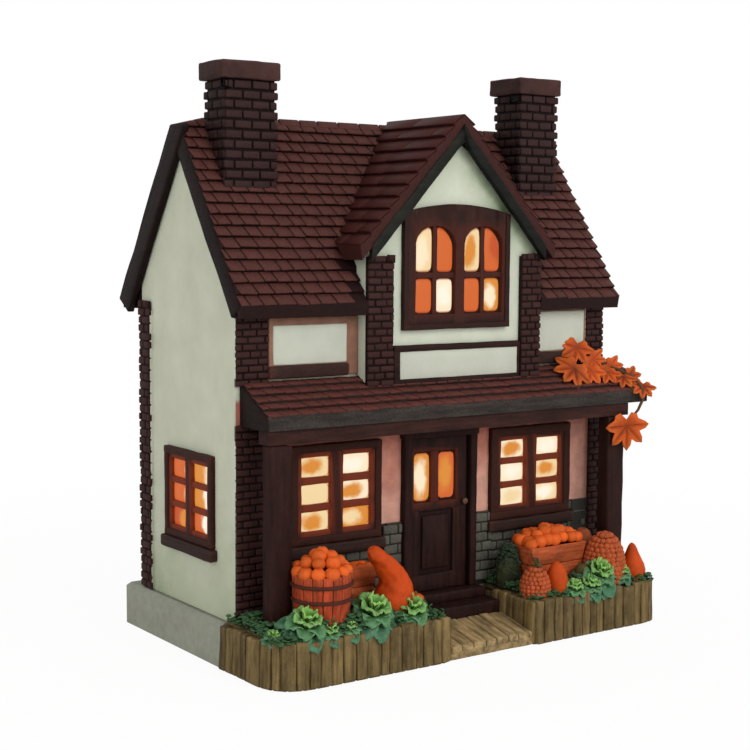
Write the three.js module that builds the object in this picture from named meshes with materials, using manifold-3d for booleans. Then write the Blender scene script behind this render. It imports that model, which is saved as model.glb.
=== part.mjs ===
// A lighted halloween house figurine: a hollow cast cottage with a cross gable, two brick chimneys and
// a tiled porch, two planted beds at its front, and a battery tray with a slide switch in its base.
// Lengths are in millimetres. While it is built, X runs along the front from the left wall's face, Y runs
// back from the front wall's face, and Z is up from the table. At the end the whole house is moved so that
// its origin is the middle of the box that it fills, at the table.
import * as THREE from "three";
import { mergeVertices } from "three/addons/utils/BufferGeometryUtils.js";
import Module from "manifold-3d";

const wasm = await Module();
wasm.setup();

// Clearances
const seat = 0.3; // glue line between two castings
const slip = 0.3; // running gap round what slides

const through = 9; // how far a cutting block runs past what it cuts

// Walls
const wallWidth = 190;
const wallDepth = 78;
const wallThickness = 4;

// Plinth
const plinthHeight = 18;
const plinthSide = 3;
const plinthBack = 11.5;
const plinthBevel = 1.6;
const plinthRim = 9;
const plateRebate = 3;

// Porch
const porchWallTop = 112; // where its tiles meet the wall
const porchPitch = THREE.MathUtils.degToRad(30.7);
const porchReach = 20;
const porchCourses = 5;
const porchFascia = 4.9;
const porchLeftInset = 3; // the porch roof starts this far inside the left wall's face
const porchRightOverhang = 9.5; // and passes the right wall's face by this much
const beamHeight = 5.2;
const beamSetback = 1.2;
const beamDepth = 7.5;
const postWidth = 9.5;
const postDepth = 7.1;
const postLeftInset = 5;
const postRightInset = 2.5;
const postForward = 0.6; // the posts stand this far forward of the beam's face

// Main roof
const upperWall = 25; // from the porch's tiles to the eave's underside
const eaveFascia = 4.3;
const roofPitch = THREE.MathUtils.degToRad(55.9);
const roofThickness = 2.8;
const roofSide = 2.2; // how far the tiles pass the gable walls
const eaveOverhang = 8.5;
const eaveOverhangBack = 13.3;
const roofCourses = 17;
const tileButt = 1.1; // how far a tile's lower edge stands proud of the course below
const ridgeDroop = 4.5; // the ridge falls by this much at its ends
const ridgeDroopLength = 17;
const rakeBoardDepth = 4.7;
const rakeBoardThickness = 1.6;

// Cross gable
const gableOffset = 6; // the gable's middle, right of the middle of the front
const gableRidgeRise = 2.8; // its ridge stands above the main ridge
const gablePitch = THREE.MathUtils.degToRad(47);
const gableThickness = 3.7;
const gableHalfWidth = 50;
const gableOverhang = 5; // how far its tiles pass the bay's face
const gableCourses = 11;
const bargeboardDepth = 5.6;
const bargeboardThickness = 2.2;
const bargeboardInset = 1; // from the tiles' lower edges
const bargeboardSetback = 0.4; // from the tiles' front edge
const bayWidth = 90;
const bayProjection = 6.5;
const bayThickness = 3;

// Brickwork
const courseHeight = 4.9;
const brickJoint = 0.9;
const jointDepth = 0.6;
const cornerProud = 1.1;
const cornerBrickLeft = 13.5;
const cornerBrickRight = 10.5;
const porchCornerBrick = 5.2;
const quoinWidth = 9.5;
const dadoHeight = 32;
const pierWidth = 12.5;
const pierWidthRight = 10.5;
const pierProud = 1.6;
const pierTop = 48; // above the porch's tiles

// Chimneys
const chimneyCapHeight = 7.2;
const chimneyCapProud = 1.6;
const chimneyLeft = { width: 24.4, depth: 17, aboveRidge: 21.2, fromWall: 20.2, beforeRidge: 11.9 };
const chimneyRight = { width: 22.6, depth: 18.6, aboveRidge: 23.9, fromWall: 20.3, beforeRidge: 11.2 };

// Windows and door
const frameProud = 2.2;
const frameBack = 1.4; // how deep a frame's back sits in its opening
const openingMargin = 2.4; // how far a frame laps over the wall round its opening
const porchWindow = {
  width: 43,
  height: 40,
  foot: 28,
  rows: 3,
  columns: 2,
  border: 5,
  bar: 3,
  mullion: 5,
};
const sideWindow = {
  width: 40,
  height: 37,
  foot: 27,
  rows: 3,
  columns: 2,
  border: 4.4,
  bar: 2.4,
  mullion: 4.4,
};
const fieldShare = 0.6; // the field round the panes is sunk by the rest of the frame's standing
const sillHeight = 5;
const sillProud = 3.4;
const sillOver = 1.6;
const sillSlope = 0.5;
const sillNose = 1;
const windowToDoor = 10.2;
const sideWindowMiddle = 35; // middle along the gable wall
const gableWindowWidth = 54;
const gableWindowFoot = 18.5; // above the porch's tiles
const gableWindowHead = 4.5; // between its shoulders and the gable's underside
const gableWindowRise = 3;
const gableFrameProud = 1.7;
const gableLightWidth = 20.5;
const gableLightGap = 4.6;
const gableLightFoot = 6.5;
const gableLightHead = 11.5;
const gableLightLower = 14.5;
const gableBar = 2.6;
const gableArchShare = 0.4; // rise of a light's arch as a share of its width
const barSunk = 0.5;
const doorOffset = 4; // the door's middle, right of the middle of the front
const doorWidth = 29;
const doorHeight = 65;
const doorThickness = 3;
const doorCase = 4.6;
const doorLightWidth = 9;
const doorLightHeight = 20;
const doorLightGap = 4.2;
const doorStile = 4;
const doorHead = 5.5; // above the door's lights
const doorMiddleRail = 5;
const doorFootRail = 7;
const doorSunk = 1.2; // the door's face stands this far forward of the wall
const doorPanelDepth = 0.8;
const doorMoulding = 2;
const doorCaseThickness = 3;
const knobRadius = 1.3;
const knobInset = 3; // from the door's edge
const knobRise = 2.5; // above the lower panel
const sheetThickness = 0.8;

// Upper wall
const panelBorder = 1.8;
const panelProud = 1.3;
const panelRecess = 0.7;
const panelSill = 3.2;
const panelSillRise = 1.4; // above the porch's tiles
const panelSillProud = 1.2;
const panelSillGap = 0.6;
const gablePanelHeight = 18.2;
const gablePanelBorder = 2.6;
const gableBeam = 6.8;

// Beds
const bedReach = 37.4;
const bedHeight = 17;
const bedWrap = 5; // the palisade runs on beside the plinth
const bedSide = 3.4;
const bedCornerLeft = 18;
const bedCornerRight = 12;
const boardWidth = 5.8;
const boardGroove = 0.8;
const palisadeThickness = 3.2;
const soilDrop = 1.6; // the earth lies this far below the palisade's top
const moundRise = 4.6; // and rises by this much towards the house
const rampInset = 6; // the rise begins this far behind the palisade's face
const rampLength = 11;
const stepWidth = 43.6;
const stepFront = 5.8;
const stepBack = 10.6;
const stepDepth = 21.5;
const stepBackset = 0.6; // behind the palisades' faces
const stepPlanks = 7;
const plankGroove = 0.7;
const treadDepth = 7.4;
const doorRise = 1; // the door's foot above the walls' foot

// Battery tray and switch
const plateThickness = 2.4;
const plateRecess = 5; // underside of the base plate above the table
const cellDiameter = 14.2;
const cellLength = 49.2;
const cellGap = 1;
const cellPlay = 1.2;
const cellButton = 2.8; // radius
const cellCrimp = 0.5;
const trayWall = 1.6;
const trayOffset = -25; // the tray's middle, from the middle of the front
const springLength = 4.6;
const springTurns = 3;
const springWire = 0.7;
const springRim = 2.6; // the spring's widest turn stays this far inside the cell's edge
const springTaper = 0.55;
const stripThickness = 0.4;
const stripPlay = 0.2;
const tabShare = 0.36; // half a strip's width as a share of a cell's diameter
const doorPlate = 1.9;
const doorLap = 2.2; // the battery door laps the bay's mouth by this much
const railWidth = 2.4;
const railLip = 1.8;
const lipThickness = 1.2;
const stopWidth = 2; // stop at the closed end of the door's rails
const gripCount = 5;
const gripPitch = 2.2;
const gripWidth = 18;
const gripDepth = 0.6;
const ribWidth = 0.6; // rib that keeps the cells apart
const switchOffset = -73; // clear of the battery door's way out
const switchLength = 13;
const switchWidth = 6.4;
const switchHeight = 5.6;
const switchTravel = 4;
const switchFloor = 0.8; // the slider's flange runs above this much of the switch's body
const flange = 0.8; // the slider's flange stands out this far
const flangeHeight = 1.6;
const knobLength = 4.4;
const knobWidth = 3;
const knobReach = 1.6; // below the base plate

// Lamps
const boardThickness = 1.6;
const boardLength = 54;
const boardDepth = 14;
const boardOffset = -20; // the board's middle, from the middle of the front
const lampInset = 6; // from the board's ends
const lampRadius = 2.5;
const lampRim = 0.4;
const lampHeight = 8.4;
const leadRadius = 0.9;
const leadRise = 2.5; // how far the lead arches over the board
const leadOffset = 3; // behind the tray's middle

// What grows and stands in the beds: x from the left wall or, in the right bed, from the step's right
// edge, y from the front wall's face
const fruit = 4; // radius
const fruitSquash = 0.92;
const hoopHeights = [0.3, 0.72]; // shares of the basket's height
const hoopHeight = 2.2;
const hoopProud = 0.7;
const hoopBevel = 0.4;
const basketWallThickness = 1.4;
const basketFill = 2.4; // the filling lies this far below the basket's mouth
const crateLean = 1.8;
const crateWall = 1.5;
const crateFloor = 3; // above the earth
const crateFill = 3; // the filling lies this far below the crate's rim
const pumpkinRibs = 7;
const frills = 6;
const kaleStem = 1.6; // radius
const coneRows = 6;
const basket = { x: 25, y: -25, mouth: 10.8, foot: 9, top: 39.5 };
const leftCrate = { x: 45, y: -14, width: 12, depth: 10, rim: 37.5 };
const crookneck = { x: 57.9, y: -24, girth: 8, height: 26.4 };
const pumpkin = { x: 73, y: -18.6, girth: 3.4, height: 22.3 };
const kalesLeft = [
  { x: 11.5, y: -31, spread: 8.4 },
  { x: 27, y: -35.5, spread: 5.6 },
  { x: 41.5, y: -29.5, spread: 7.6 },
  { x: 67, y: -28.6, spread: 6 },
];
const rightCrate = { x: 11.6, y: -22, width: 30.6, depth: 15.5, rim: 36 };
const coneBack = { x: 49, y: -27, girth: 7.4, height: 24.4 };
const coneFront = { x: 9.6, y: -28, girth: 6.1, height: 19.4 };
const gourdFront = { x: 20.4, y: -29, girth: 4, height: 16.6 };
const gourdCorner = { x: 64.8, y: -27.4, girth: 5.2, height: 16.8 };
const kalesRight = [
  { x: 15.4, y: -34.4, spread: 4.4 },
  { x: 31.5, y: -32.2, spread: 6.8 },
  { x: 54, y: -35, spread: 5 },
];
const shrub = { x: 5.8, y: -13, girth: 6, height: 9.6 };
const shrubSunk = 0.4;
const shrubDepth = 0.8;

// Materials
const material = (color, roughness, metalness = 0) =>
  new THREE.MeshStandardMaterial({ color, roughness, metalness });
const plaster = () => material(0xb9c2ab, 0.75);
const timber = () => material(0x2e1715, 0.5);
const brick = () => material(0x35201f, 0.6);
const tile = () => material(0x4a2422, 0.6);
const stone = () => material(0x8d908c, 0.85);
const plank = () => material(0x7a6849, 0.85);
const orange = () => material(0xd0501a, 0.5);
const rust = () => material(0x8a3a1e, 0.7);
const greens = () => material(0x2f8a55, 0.6);
const glow = () => material(0xffb45a, 0.5);
const plastic = () => material(0x1c1c1e, 0.55);
const metal = () => material(0xc7c8c4, 0.3, 1);

// A solid for joining and cutting, from any closed geometry.
function solid(geometry) {
  const bare = geometry.clone();
  bare.deleteAttribute("normal");
  bare.deleteAttribute("uv");
  const merged = mergeVertices(bare, 1e-4);
  return new wasm.Manifold(
    new wasm.Mesh({
      numProp: 3,
      vertProperties: merged.attributes.position.array,
      triVerts: new Uint32Array(merged.index.array),
    }),
  );
}

const join = (solids) => solids.reduce((all, next) => all.add(next));
const cut = (body, ...tools) => tools.reduce((left, tool) => left.subtract(tool), body);

const house = new THREE.Group();

// Adds a finished solid to the house as a named mesh.
function piece(name, body, look) {
  const made = body.getMesh();
  const geometry = new THREE.BufferGeometry();
  geometry.setAttribute("position", new THREE.BufferAttribute(made.vertProperties, 3));
  geometry.setIndex(new THREE.BufferAttribute(made.triVerts, 1));
  const mesh = new THREE.Mesh(geometry.toNonIndexed(), look);
  mesh.geometry.computeVertexNormals();
  mesh.name = name;
  house.add(mesh);
}

// Block between two values along each axis.
function box(x, y, z) {
  const geometry = new THREE.BoxGeometry(x[1] - x[0], y[1] - y[0], z[1] - z[0]);
  geometry.translate((x[0] + x[1]) / 2, (y[0] + y[1]) / 2, (z[0] + z[1]) / 2);
  return solid(geometry);
}

// The two values half a size to each side of a middle.
const about = (middle, size) => [middle - size / 2, middle + size / 2];
const swelled = (range, gap) => [range[0] - gap, range[1] + gap];

const shapeOf = (points) => new THREE.Shape(points.map(([u, v]) => new THREE.Vector2(u, v)));

function extruded(outline, length, basis) {
  const shape = Array.isArray(outline) ? shapeOf(outline) : outline;
  const options = { depth: length, bevelEnabled: false, curveSegments: 8 };
  const geometry = new THREE.ExtrudeGeometry(shape, options);
  return solid(geometry.applyMatrix4(basis));
}

// Outlines in the YZ, XZ and XY planes, extruded along the third axis.
const axisX = new THREE.Vector3(1, 0, 0);
const axisY = new THREE.Vector3(0, 1, 0);
const axisZ = new THREE.Vector3(0, 0, 1);
function alongX(outline, x) {
  const basis = new THREE.Matrix4().makeBasis(axisY, axisZ, axisX).setPosition(x[0], 0, 0);
  return extruded(outline, x[1] - x[0], basis);
}
function alongY(outline, y) {
  const basis = new THREE.Matrix4().makeBasis(axisX, axisZ, axisY.clone().negate()).setPosition(0, y[1], 0);
  return extruded(outline, y[1] - y[0], basis);
}
function alongZ(outline, z) {
  return extruded(outline, z[1] - z[0], new THREE.Matrix4().makeTranslation(0, 0, z[0]));
}

// Profile of [radius, height] pairs turned round the Z axis.
function turned(profile, sides, place = [0, 0, 0]) {
  const geometry = new THREE.LatheGeometry(profile.map(([r, h]) => new THREE.Vector2(r, h)), sides);
  geometry.rotateX(Math.PI / 2);
  geometry.translate(...place);
  return solid(geometry);
}

function ball(radius, place, squash = [1, 1, 1], detail = 1) {
  const geometry = new THREE.IcosahedronGeometry(radius, detail);
  geometry.scale(...squash);
  geometry.translate(...place);
  return solid(geometry);
}

// Round rod along a smooth curve through points.
function rod(points, radius, sides, steps) {
  const path = new THREE.CatmullRomCurve3(points.map((p) => new THREE.Vector3(...p)));
  const ring = Array.from({ length: sides }, (_, i) => (i * 2 * Math.PI) / sides);
  const section = shapeOf(ring.map((a) => [radius * Math.cos(a), radius * Math.sin(a)]));
  return solid(new THREE.ExtrudeGeometry(section, { extrudePath: path, steps, bevelEnabled: false }));
}

// Heights and places that several pieces share
const frontMiddle = wallWidth / 2;
const wallFoot = plinthHeight + seat;
const roofRise = Math.tan(roofPitch);
const gableRise = Math.tan(gablePitch);
const porchRise = Math.tan(porchPitch);

const eaveHeight = porchWallTop + upperWall;
const eaveEdge = eaveHeight + eaveFascia;
const ridgeBack = (wallDepth + eaveOverhangBack - eaveOverhang) / 2;
const roofRun = ridgeBack + eaveOverhang;
const roofFrontEdge = -eaveOverhang;
const roofBackEdge = wallDepth + eaveOverhangBack;
const ridgeHeight = eaveEdge + roofRise * roofRun;
const roofUnder = ridgeHeight - roofThickness / Math.cos(roofPitch);
const roofX = [-roofSide, wallWidth + roofSide];

const gableMiddle = frontMiddle + gableOffset;
const gableRidge = ridgeHeight + gableRidgeRise;
const gableEdge = gableRidge - gableRise * gableHalfWidth;
const gableUnder = gableRidge - gableThickness / Math.cos(gablePitch);
const bayFace = -bayProjection;
const gableFront = bayFace - gableOverhang;
const bayX = about(gableMiddle, bayWidth);

const porchX = [porchLeftInset, wallWidth + porchRightOverhang];
const porchEdge = porchWallTop - porchRise * porchReach;
const porchSoffit = porchEdge - porchFascia;

const doorMiddle = frontMiddle + doorOffset;
const doorFoot = wallFoot + doorRise;
const doorHole = doorWidth / 2 + seat;
const caseX = about(doorMiddle, 2 * (doorHole + doorCase));
const stepX = about(doorMiddle, stepWidth);
const windowFoot = plinthHeight + porchWindow.foot;
const windowLeftMiddle = caseX[0] - windowToDoor - porchWindow.width / 2;
const windowRightMiddle = caseX[1] + windowToDoor + porchWindow.width / 2;
const sideWindowFoot = plinthHeight + sideWindow.foot;

const soilHeight = bedHeight - soilDrop;
const moundHeight = soilHeight + moundRise;

// Roof slopes

// One slope in stepped courses, from the eave up to the ridge, as points [run, height] where the run
// goes from the eave's edge. Each course starts a butt's thickness proud and dies into the one above.
function courses(run, rise, count) {
  const slope = Math.hypot(run, rise);
  const away = [(-tileButt * rise) / slope, (tileButt * run) / slope];
  const points = [];
  for (let i = 0; i < count; i += 1) {
    const low = i / count;
    const high = (i + 1) / count;
    points.push([low * run + away[0], low * rise + away[1]]);
    points.push([high * run, high * rise]);
  }
  return points;
}

// Main roof: tiled slopes, with boxed eaves between them and the walls
const slopeSteps = courses(roofRun, ridgeHeight - eaveEdge, roofCourses);
const frontSteps = slopeSteps.map(([run, height]) => [roofFrontEdge + run, eaveEdge + height]);
const backSteps = slopeSteps.map(([run, height]) => [roofBackEdge - run, eaveEdge + height]);
const undersideAt = (y) => roofUnder - roofRise * Math.abs(ridgeBack - y);
const soffitRun = (roofUnder - eaveHeight) / roofRise;

const slopeSection = [
  [ridgeBack - soffitRun, eaveHeight],
  [ridgeBack, roofUnder],
  [ridgeBack + soffitRun, eaveHeight],
  [roofBackEdge, eaveHeight],
  ...backSteps.slice(0, -1),
  ...frontSteps.slice().reverse(),
  [roofFrontEdge, eaveHeight],
];
const soffitOverlap = 0.5;
const boxedEave = (wall, edge) =>
  alongX(
    [
      [wall, eaveHeight],
      [edge, eaveHeight],
      [edge, undersideAt(edge) + soffitOverlap],
      [wall, undersideAt(wall) + soffitOverlap],
    ],
    [0, wallWidth],
  );

// Both ends of the ridge fall away, as on the hand-shaped original.
const droopTool = (end, side) =>
  alongY(
    [
      [end + side, ridgeHeight - ridgeDroop],
      [end - side * ridgeDroopLength, ridgeHeight],
      [end - side * ridgeDroopLength, ridgeHeight + through],
      [end + side, ridgeHeight + through],
    ],
    [roofFrontEdge, roofBackEdge],
  );

// The space below the main roof's surface and behind a plane, for cutting what stands on the slope.
function underSlope(gap, front) {
  const top = ridgeHeight + (tileButt + gap) / Math.cos(roofPitch);
  const back = roofBackEdge + tileButt + gap;
  const points = [
    [front, -1],
    [back, -1],
    [back, top - roofRise * (back - ridgeBack)],
    [ridgeBack, top],
    [front, top - roofRise * (ridgeBack - front)],
  ];
  return alongX(points, swelled(roofX, gap));
}

// Cross gable
const gableSteps = courses(gableHalfWidth, gableRidge - gableEdge, gableCourses);
const gableStepsOn = (side) =>
  gableSteps.map(([run, height]) => [gableMiddle + side * (gableHalfWidth - run), gableEdge + height]);
const gableSection = [
  [gableMiddle - gableHalfWidth, gableUnder - gableRise * gableHalfWidth],
  [gableMiddle, gableUnder],
  [gableMiddle + gableHalfWidth, gableUnder - gableRise * gableHalfWidth],
  ...gableStepsOn(1),
  ...gableStepsOn(-1).slice(0, -1).reverse(),
];

// The space below the gable's tiles, lowered by a gap, with upright sides and a level foot.
function underGable(gap, foot, halfWidth) {
  const apex = gableUnder - gap / Math.cos(gablePitch);
  return [
    [gableMiddle - halfWidth, foot],
    [gableMiddle + halfWidth, foot],
    [gableMiddle + halfWidth, apex - gableRise * halfWidth],
    [gableMiddle, apex],
    [gableMiddle - halfWidth, apex - gableRise * halfWidth],
  ];
}

// Porch roof
const porchSteps = courses(porchReach - seat, porchRise * (porchReach - seat), porchCourses);
const porchSection = [
  [-seat, porchSoffit],
  ...porchSteps.slice().reverse().map(([run, height]) => [-porchReach + run, porchEdge + height]),
  [-porchReach, porchSoffit],
];
const tilesAt = (y, gap) => porchWallTop + porchRise * y + (tileButt + gap) / Math.cos(porchPitch);
function porchSpace(gap) {
  const front = -porchReach - tileButt - gap;
  const points = [
    [front, porchSoffit - gap],
    [0, porchSoffit - gap],
    [0, tilesAt(0, gap)],
    [front, tilesAt(front, gap)],
  ];
  return alongX(points, swelled(porchX, gap));
}

// Brickwork

// The face line of a wall laid in courses, as [depth, height]: brick faces with raked joints between.
function brickLine(foot, top, proud) {
  const count = Math.max(2, Math.round((top - foot) / courseHeight));
  const pitch = (top - foot) / count;
  const points = [];
  for (let i = 0; i < count; i += 1) {
    const low = foot + i * pitch;
    const last = i === count - 1;
    points.push([proud, low]);
    points.push([proud, low + pitch - (last ? 0 : brickJoint)]);
    if (!last) points.push([proud - jointDepth, low + pitch - brickJoint / 2]);
  }
  return points;
}

// A strip of brickwork on a plane that looks forward. root is how far it reaches into the plane.
function brickStrip(x, face, z, proud, root = 0) {
  const line = brickLine(z[0], z[1], proud).map(([depth, height]) => [face - depth, height]);
  return alongX([[face + root, z[1]], [face + root, z[0]], ...line], x);
}

// A stack on a square plan: its courses go round all four sides, under a cap with bevelled edges.
function stack(size, middle) {
  const top = ridgeHeight + size.aboveRidge;
  const capFoot = top - chimneyCapHeight;
  const back = ridgeBack - size.beforeRidge;
  const foot = ridgeHeight - roofRise * (size.beforeRidge + size.depth) - seat;
  const half = size.width / 2;
  const cap = half + chimneyCapProud;
  const bevel = chimneyCapProud / 2;
  const profile = [
    [0, foot],
    ...brickLine(foot, capFoot, half),
    [cap, capFoot + bevel],
    [cap, top - bevel],
    [cap - bevel, top],
    [0, top],
  ];
  const points = profile.map(([r, h]) => new THREE.Vector2(r * Math.SQRT2, h));
  const geometry = new THREE.LatheGeometry(points, 4);
  geometry.rotateX(Math.PI / 2);
  geometry.rotateZ(Math.PI / 4);
  geometry.scale(1, size.depth / size.width, 1);
  geometry.translate(middle, back, 0);
  return cut(solid(geometry), underSlope(seat, roofFrontEdge));
}

// Windows

// A barred frame with its sill on a face that looks forward: its middle is x = 0 and its foot z = 0.
function barredWindow(size) {
  const frame = box(about(0, size.width), [-frameProud, 0], [0, size.height]);
  const tongue = box(
    about(0, size.width - 2 * openingMargin),
    [-seat, frameBack],
    [openingMargin, size.height - openingMargin],
  );
  const paneWidth = (size.width - 2 * size.border - (size.columns - 1) * size.mullion) / size.columns;
  const paneHeight = (size.height - 2 * size.border - (size.rows - 1) * size.bar) / size.rows;
  const panes = [];
  for (let column = 0; column < size.columns; column += 1) {
    for (let row = 0; row < size.rows; row += 1) {
      const x = -size.width / 2 + size.border + column * (paneWidth + size.mullion);
      const z = size.border + row * (paneHeight + size.bar);
      panes.push(box([x, x + paneWidth], [-2 * frameProud, 2 * frameBack], [z, z + paneHeight]));
    }
  }
  const rim = size.border / 2;
  const field = box(
    about(0, size.width - 2 * rim),
    [-2 * frameProud, -frameProud * fieldShare],
    [rim, size.height - rim],
  );
  const sill = alongX(
    [
      [0, -sillHeight],
      [0, sillSlope],
      [-frameProud, sillSlope],
      [-sillProud, -sillNose],
      [-sillProud, sillNose - sillHeight],
      [sillNose - sillProud, -sillHeight],
    ],
    about(0, size.width + 2 * sillOver),
  );
  return join([cut(join([frame, tongue]), field, ...panes), sill]);
}

// The hole that a frame's tongue goes into.
function openingFor(size) {
  const z = swelled([openingMargin, size.height - openingMargin], seat);
  return box(about(0, size.width - 2 * (openingMargin - seat)), [-1, wallThickness + 1], z);
}

// Moves a forward-looking piece to the front wall, or to the left or right gable wall.
const onFront = (body, x, z, off = 0) => body.translate([x, -off, z]);
const onLeft = (body, y, z, off = 0) => body.rotate([0, 0, -90]).translate([-off, y, z]);
const onRight = (body, y, z, off = 0) => body.rotate([0, 0, 90]).translate([wallWidth + off, y, z]);

// Plinth: a hollow foot with a bevelled top edge and a rebate for the base plate
const plinthX = [-plinthSide, wallWidth + plinthSide];
const plinthEnd = wallDepth + plinthBack;
const plinthFront = bedWrap + seat;
const plinthBlock = alongX(
  [
    [plinthFront, 0],
    [plinthEnd, 0],
    [plinthEnd, plinthHeight - plinthBevel],
    [plinthEnd - plinthBevel, plinthHeight],
    [plinthFront, plinthHeight],
  ],
  plinthX,
);
const sideBevel = (x, side) =>
  alongY(
    [
      [x + side, plinthHeight - plinthBevel - 1],
      [x + side, plinthHeight + 1],
      [x - side * (plinthBevel + 1), plinthHeight + 1],
    ],
    [-1, plinthEnd + 1],
  );
const hollowX = [plinthRim, wallWidth - plinthRim];
const hollowY = [plinthRim, plinthEnd - plinthRim - plinthBack / 2];
const plateX = swelled(hollowX, plateRebate);
const plateY = swelled(hollowY, plateRebate);
const plateZ = [plateRecess, plateRecess + plateThickness];
piece(
  "plinth",
  cut(
    join([box([0, wallWidth], [0, plinthFront + 1], [0, plinthHeight]), plinthBlock]),
    sideBevel(plinthX[0], -1),
    sideBevel(plinthX[1], 1),
    box(hollowX, hollowY, [-1, plinthHeight + 1]),
    box(swelled(plateX, seat), swelled(plateY, seat), [-1, plateZ[1] + seat]),
  ),
  stone(),
);

// Battery tray: base plate with the door's rails, bay, door, cells and contacts
const trayX = about(frontMiddle + trayOffset, cellLength + springLength + cellPlay);
const trayMiddle = wallDepth / 2;
const trayY = about(trayMiddle, 2 * cellDiameter + cellGap + cellPlay);
const trayTop = plateZ[1] + cellDiameter;
const doorX = swelled(trayX, doorLap);
const doorY = swelled(trayY, doorLap);
const doorZ = [plateRecess - slip - doorPlate, plateRecess - slip];
const railFoot = doorZ[0] - slip - lipThickness;

// One rail: a wall beside the door with a lip under its edge.
function rail(edge, side) {
  const inner = edge + side * slip;
  const outer = inner + side * railWidth;
  const lip = edge - side * railLip;
  const points = [
    [inner, plateRecess],
    [outer, plateRecess],
    [outer, railFoot],
    [lip, railFoot],
    [lip, railFoot + lipThickness],
    [inner, railFoot + lipThickness],
  ];
  return alongX(points, doorX);
}
const doorStop = box([doorX[0] - slip - stopWidth, doorX[0] - slip], doorY, [doorZ[0], plateRecess]);

const switchMiddle = frontMiddle + switchOffset;
const slotX = about(switchMiddle, knobLength + switchTravel + 2 * slip);
const slotY = about(trayMiddle, knobWidth + 2 * slip);
piece(
  "base_plate",
  cut(
    join([box(plateX, plateY, plateZ), rail(doorY[0], -1), rail(doorY[1], 1), doorStop]),
    box(trayX, trayY, [0, plateZ[1] + 1]),
    box(slotX, slotY, [0, plateZ[1] + 1]),
  ),
  plastic(),
);

const ribX = [trayX[0] + springLength + cellDiameter / 2, trayX[1] - springLength - cellDiameter / 2];
piece(
  "battery_box",
  join([
    cut(
      box(swelled(trayX, trayWall), swelled(trayY, trayWall), [plateZ[1] + seat, trayTop + trayWall]),
      box(trayX, trayY, [plateZ[1], trayTop]),
    ),
    box(ribX, about(trayMiddle, ribWidth), [trayTop - cellDiameter / 4, trayTop + trayWall / 2]),
  ]),
  plastic(),
);

const grips = Array.from({ length: gripCount }, (_, i) => {
  const x = doorX[1] - 2 * gripPitch - i * gripPitch;
  return box([x, x + gripPitch / 2], about(trayMiddle, gripWidth), [doorZ[0] - 1, doorZ[0] + gripDepth]);
});
piece("battery_door", cut(box(doorX, doorY, doorZ), ...grips), plastic());

const cellZ = plateRecess + slip + cellDiameter / 2;
const cellY = about(trayMiddle, cellDiameter + cellGap);

// A cell along X. Its button looks to the side that the sign says, and its flat end has the spring.
function cell(y, side) {
  const radius = cellDiameter / 2;
  const end = cellLength / 2;
  const shoulder = end - 2 * cellCrimp;
  const profile = [
    [0, -end],
    [radius - cellCrimp, -end],
    [radius, -end + cellCrimp],
    [radius, shoulder - cellCrimp],
    [radius - cellCrimp, shoulder],
    [cellButton, shoulder],
    [cellButton, end],
    [0, end],
  ];
  const middle = (trayX[0] + trayX[1]) / 2 + (side * springLength) / 2;
  return turned(profile, 20).rotate([0, side * 90, 0]).translate([middle, y, cellZ]);
}
const jacket = () => material(0x2a2d33, 0.35, 0.6);
piece("battery_cell_1", cell(cellY[0], 1), jacket());
piece("battery_cell_2", cell(cellY[1], -1), jacket());

// Contacts: upright strips at the bay's ends, with a conical spring where a flat end presses
const tabHalf = cellDiameter * tabShare;
const springMouth = cellDiameter / 2 - springRim;
const springNose = springMouth * springTaper;
const springReach = springLength - stripPlay - stripThickness - springWire / 2;
const curlSteps = 8;

function springPath(x, y, side) {
  const steps = springTurns * curlSteps;
  return Array.from({ length: steps + 1 }, (_, i) => {
    const share = i / steps;
    const radius = springMouth + (springNose - springMouth) * share;
    const angle = (i * 2 * Math.PI) / curlSteps;
    const along = x + side * share * (springReach - springWire);
    return [along, y + radius * Math.cos(angle), cellZ + radius * Math.sin(angle)];
  });
}
const turnGap = Math.hypot(springReach - springWire, springMouth - springNose) / springTurns;
console.log("least gap between the spring's turns, mm:", (turnGap - springWire).toFixed(2));
const spring = (x, y, side) => rod(springPath(x, y, side), springWire / 2, 5, springTurns * curlSteps);

function strip(end, side, y) {
  const face = end + side * stripPlay;
  const x = side > 0 ? [face, face + stripThickness] : [face - stripThickness, face];
  return box(x, y, [cellZ - tabHalf, trayTop - seat]);
}
const tab = (y) => about(y, 2 * tabHalf);
const leftFace = trayX[0] + stripPlay + stripThickness;
const rightFace = trayX[1] - stripPlay - stripThickness;
const wireSink = springWire / 4;
piece(
  "contact_negative",
  join([strip(trayX[0], 1, tab(cellY[0])), spring(leftFace + wireSink, cellY[0], 1)]),
  metal(),
);
piece("contact_positive", strip(trayX[0], 1, tab(cellY[1])), metal());
piece(
  "contact_bridge",
  join([
    strip(trayX[1], -1, [cellY[0] - tabHalf, cellY[1] + tabHalf]),
    spring(rightFace - wireSink, cellY[1], -1),
  ]),
  metal(),
);

// Switch: its body stands on the base plate, and the knob reaches down through the slot
const switchZ = [plateZ[1] + seat, plateZ[1] + seat + switchHeight];
const flangeZ = [switchZ[0] + switchFloor, switchZ[0] + switchFloor + flangeHeight];
piece(
  "switch_body",
  cut(
    box(about(switchMiddle, switchLength), about(trayMiddle, switchWidth), switchZ),
    box(slotX, slotY, [switchZ[0] - 1, flangeZ[1] + slip]),
    box(swelled(slotX, flange), swelled(slotY, flange), [flangeZ[0], flangeZ[1] + slip]),
  ),
  metal(),
);
const knobX = about(switchMiddle + switchTravel / 2, knobLength);
const knobY = about(trayMiddle, knobWidth);
piece(
  "switch_slider",
  join([
    box(knobX, knobY, [plateRecess - knobReach, flangeZ[1]]),
    box(swelled(knobX, flange), swelled(knobY, flange - slip / 2), [flangeZ[0] + slip, flangeZ[1]]),
  ]),
  plastic(),
);

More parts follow.
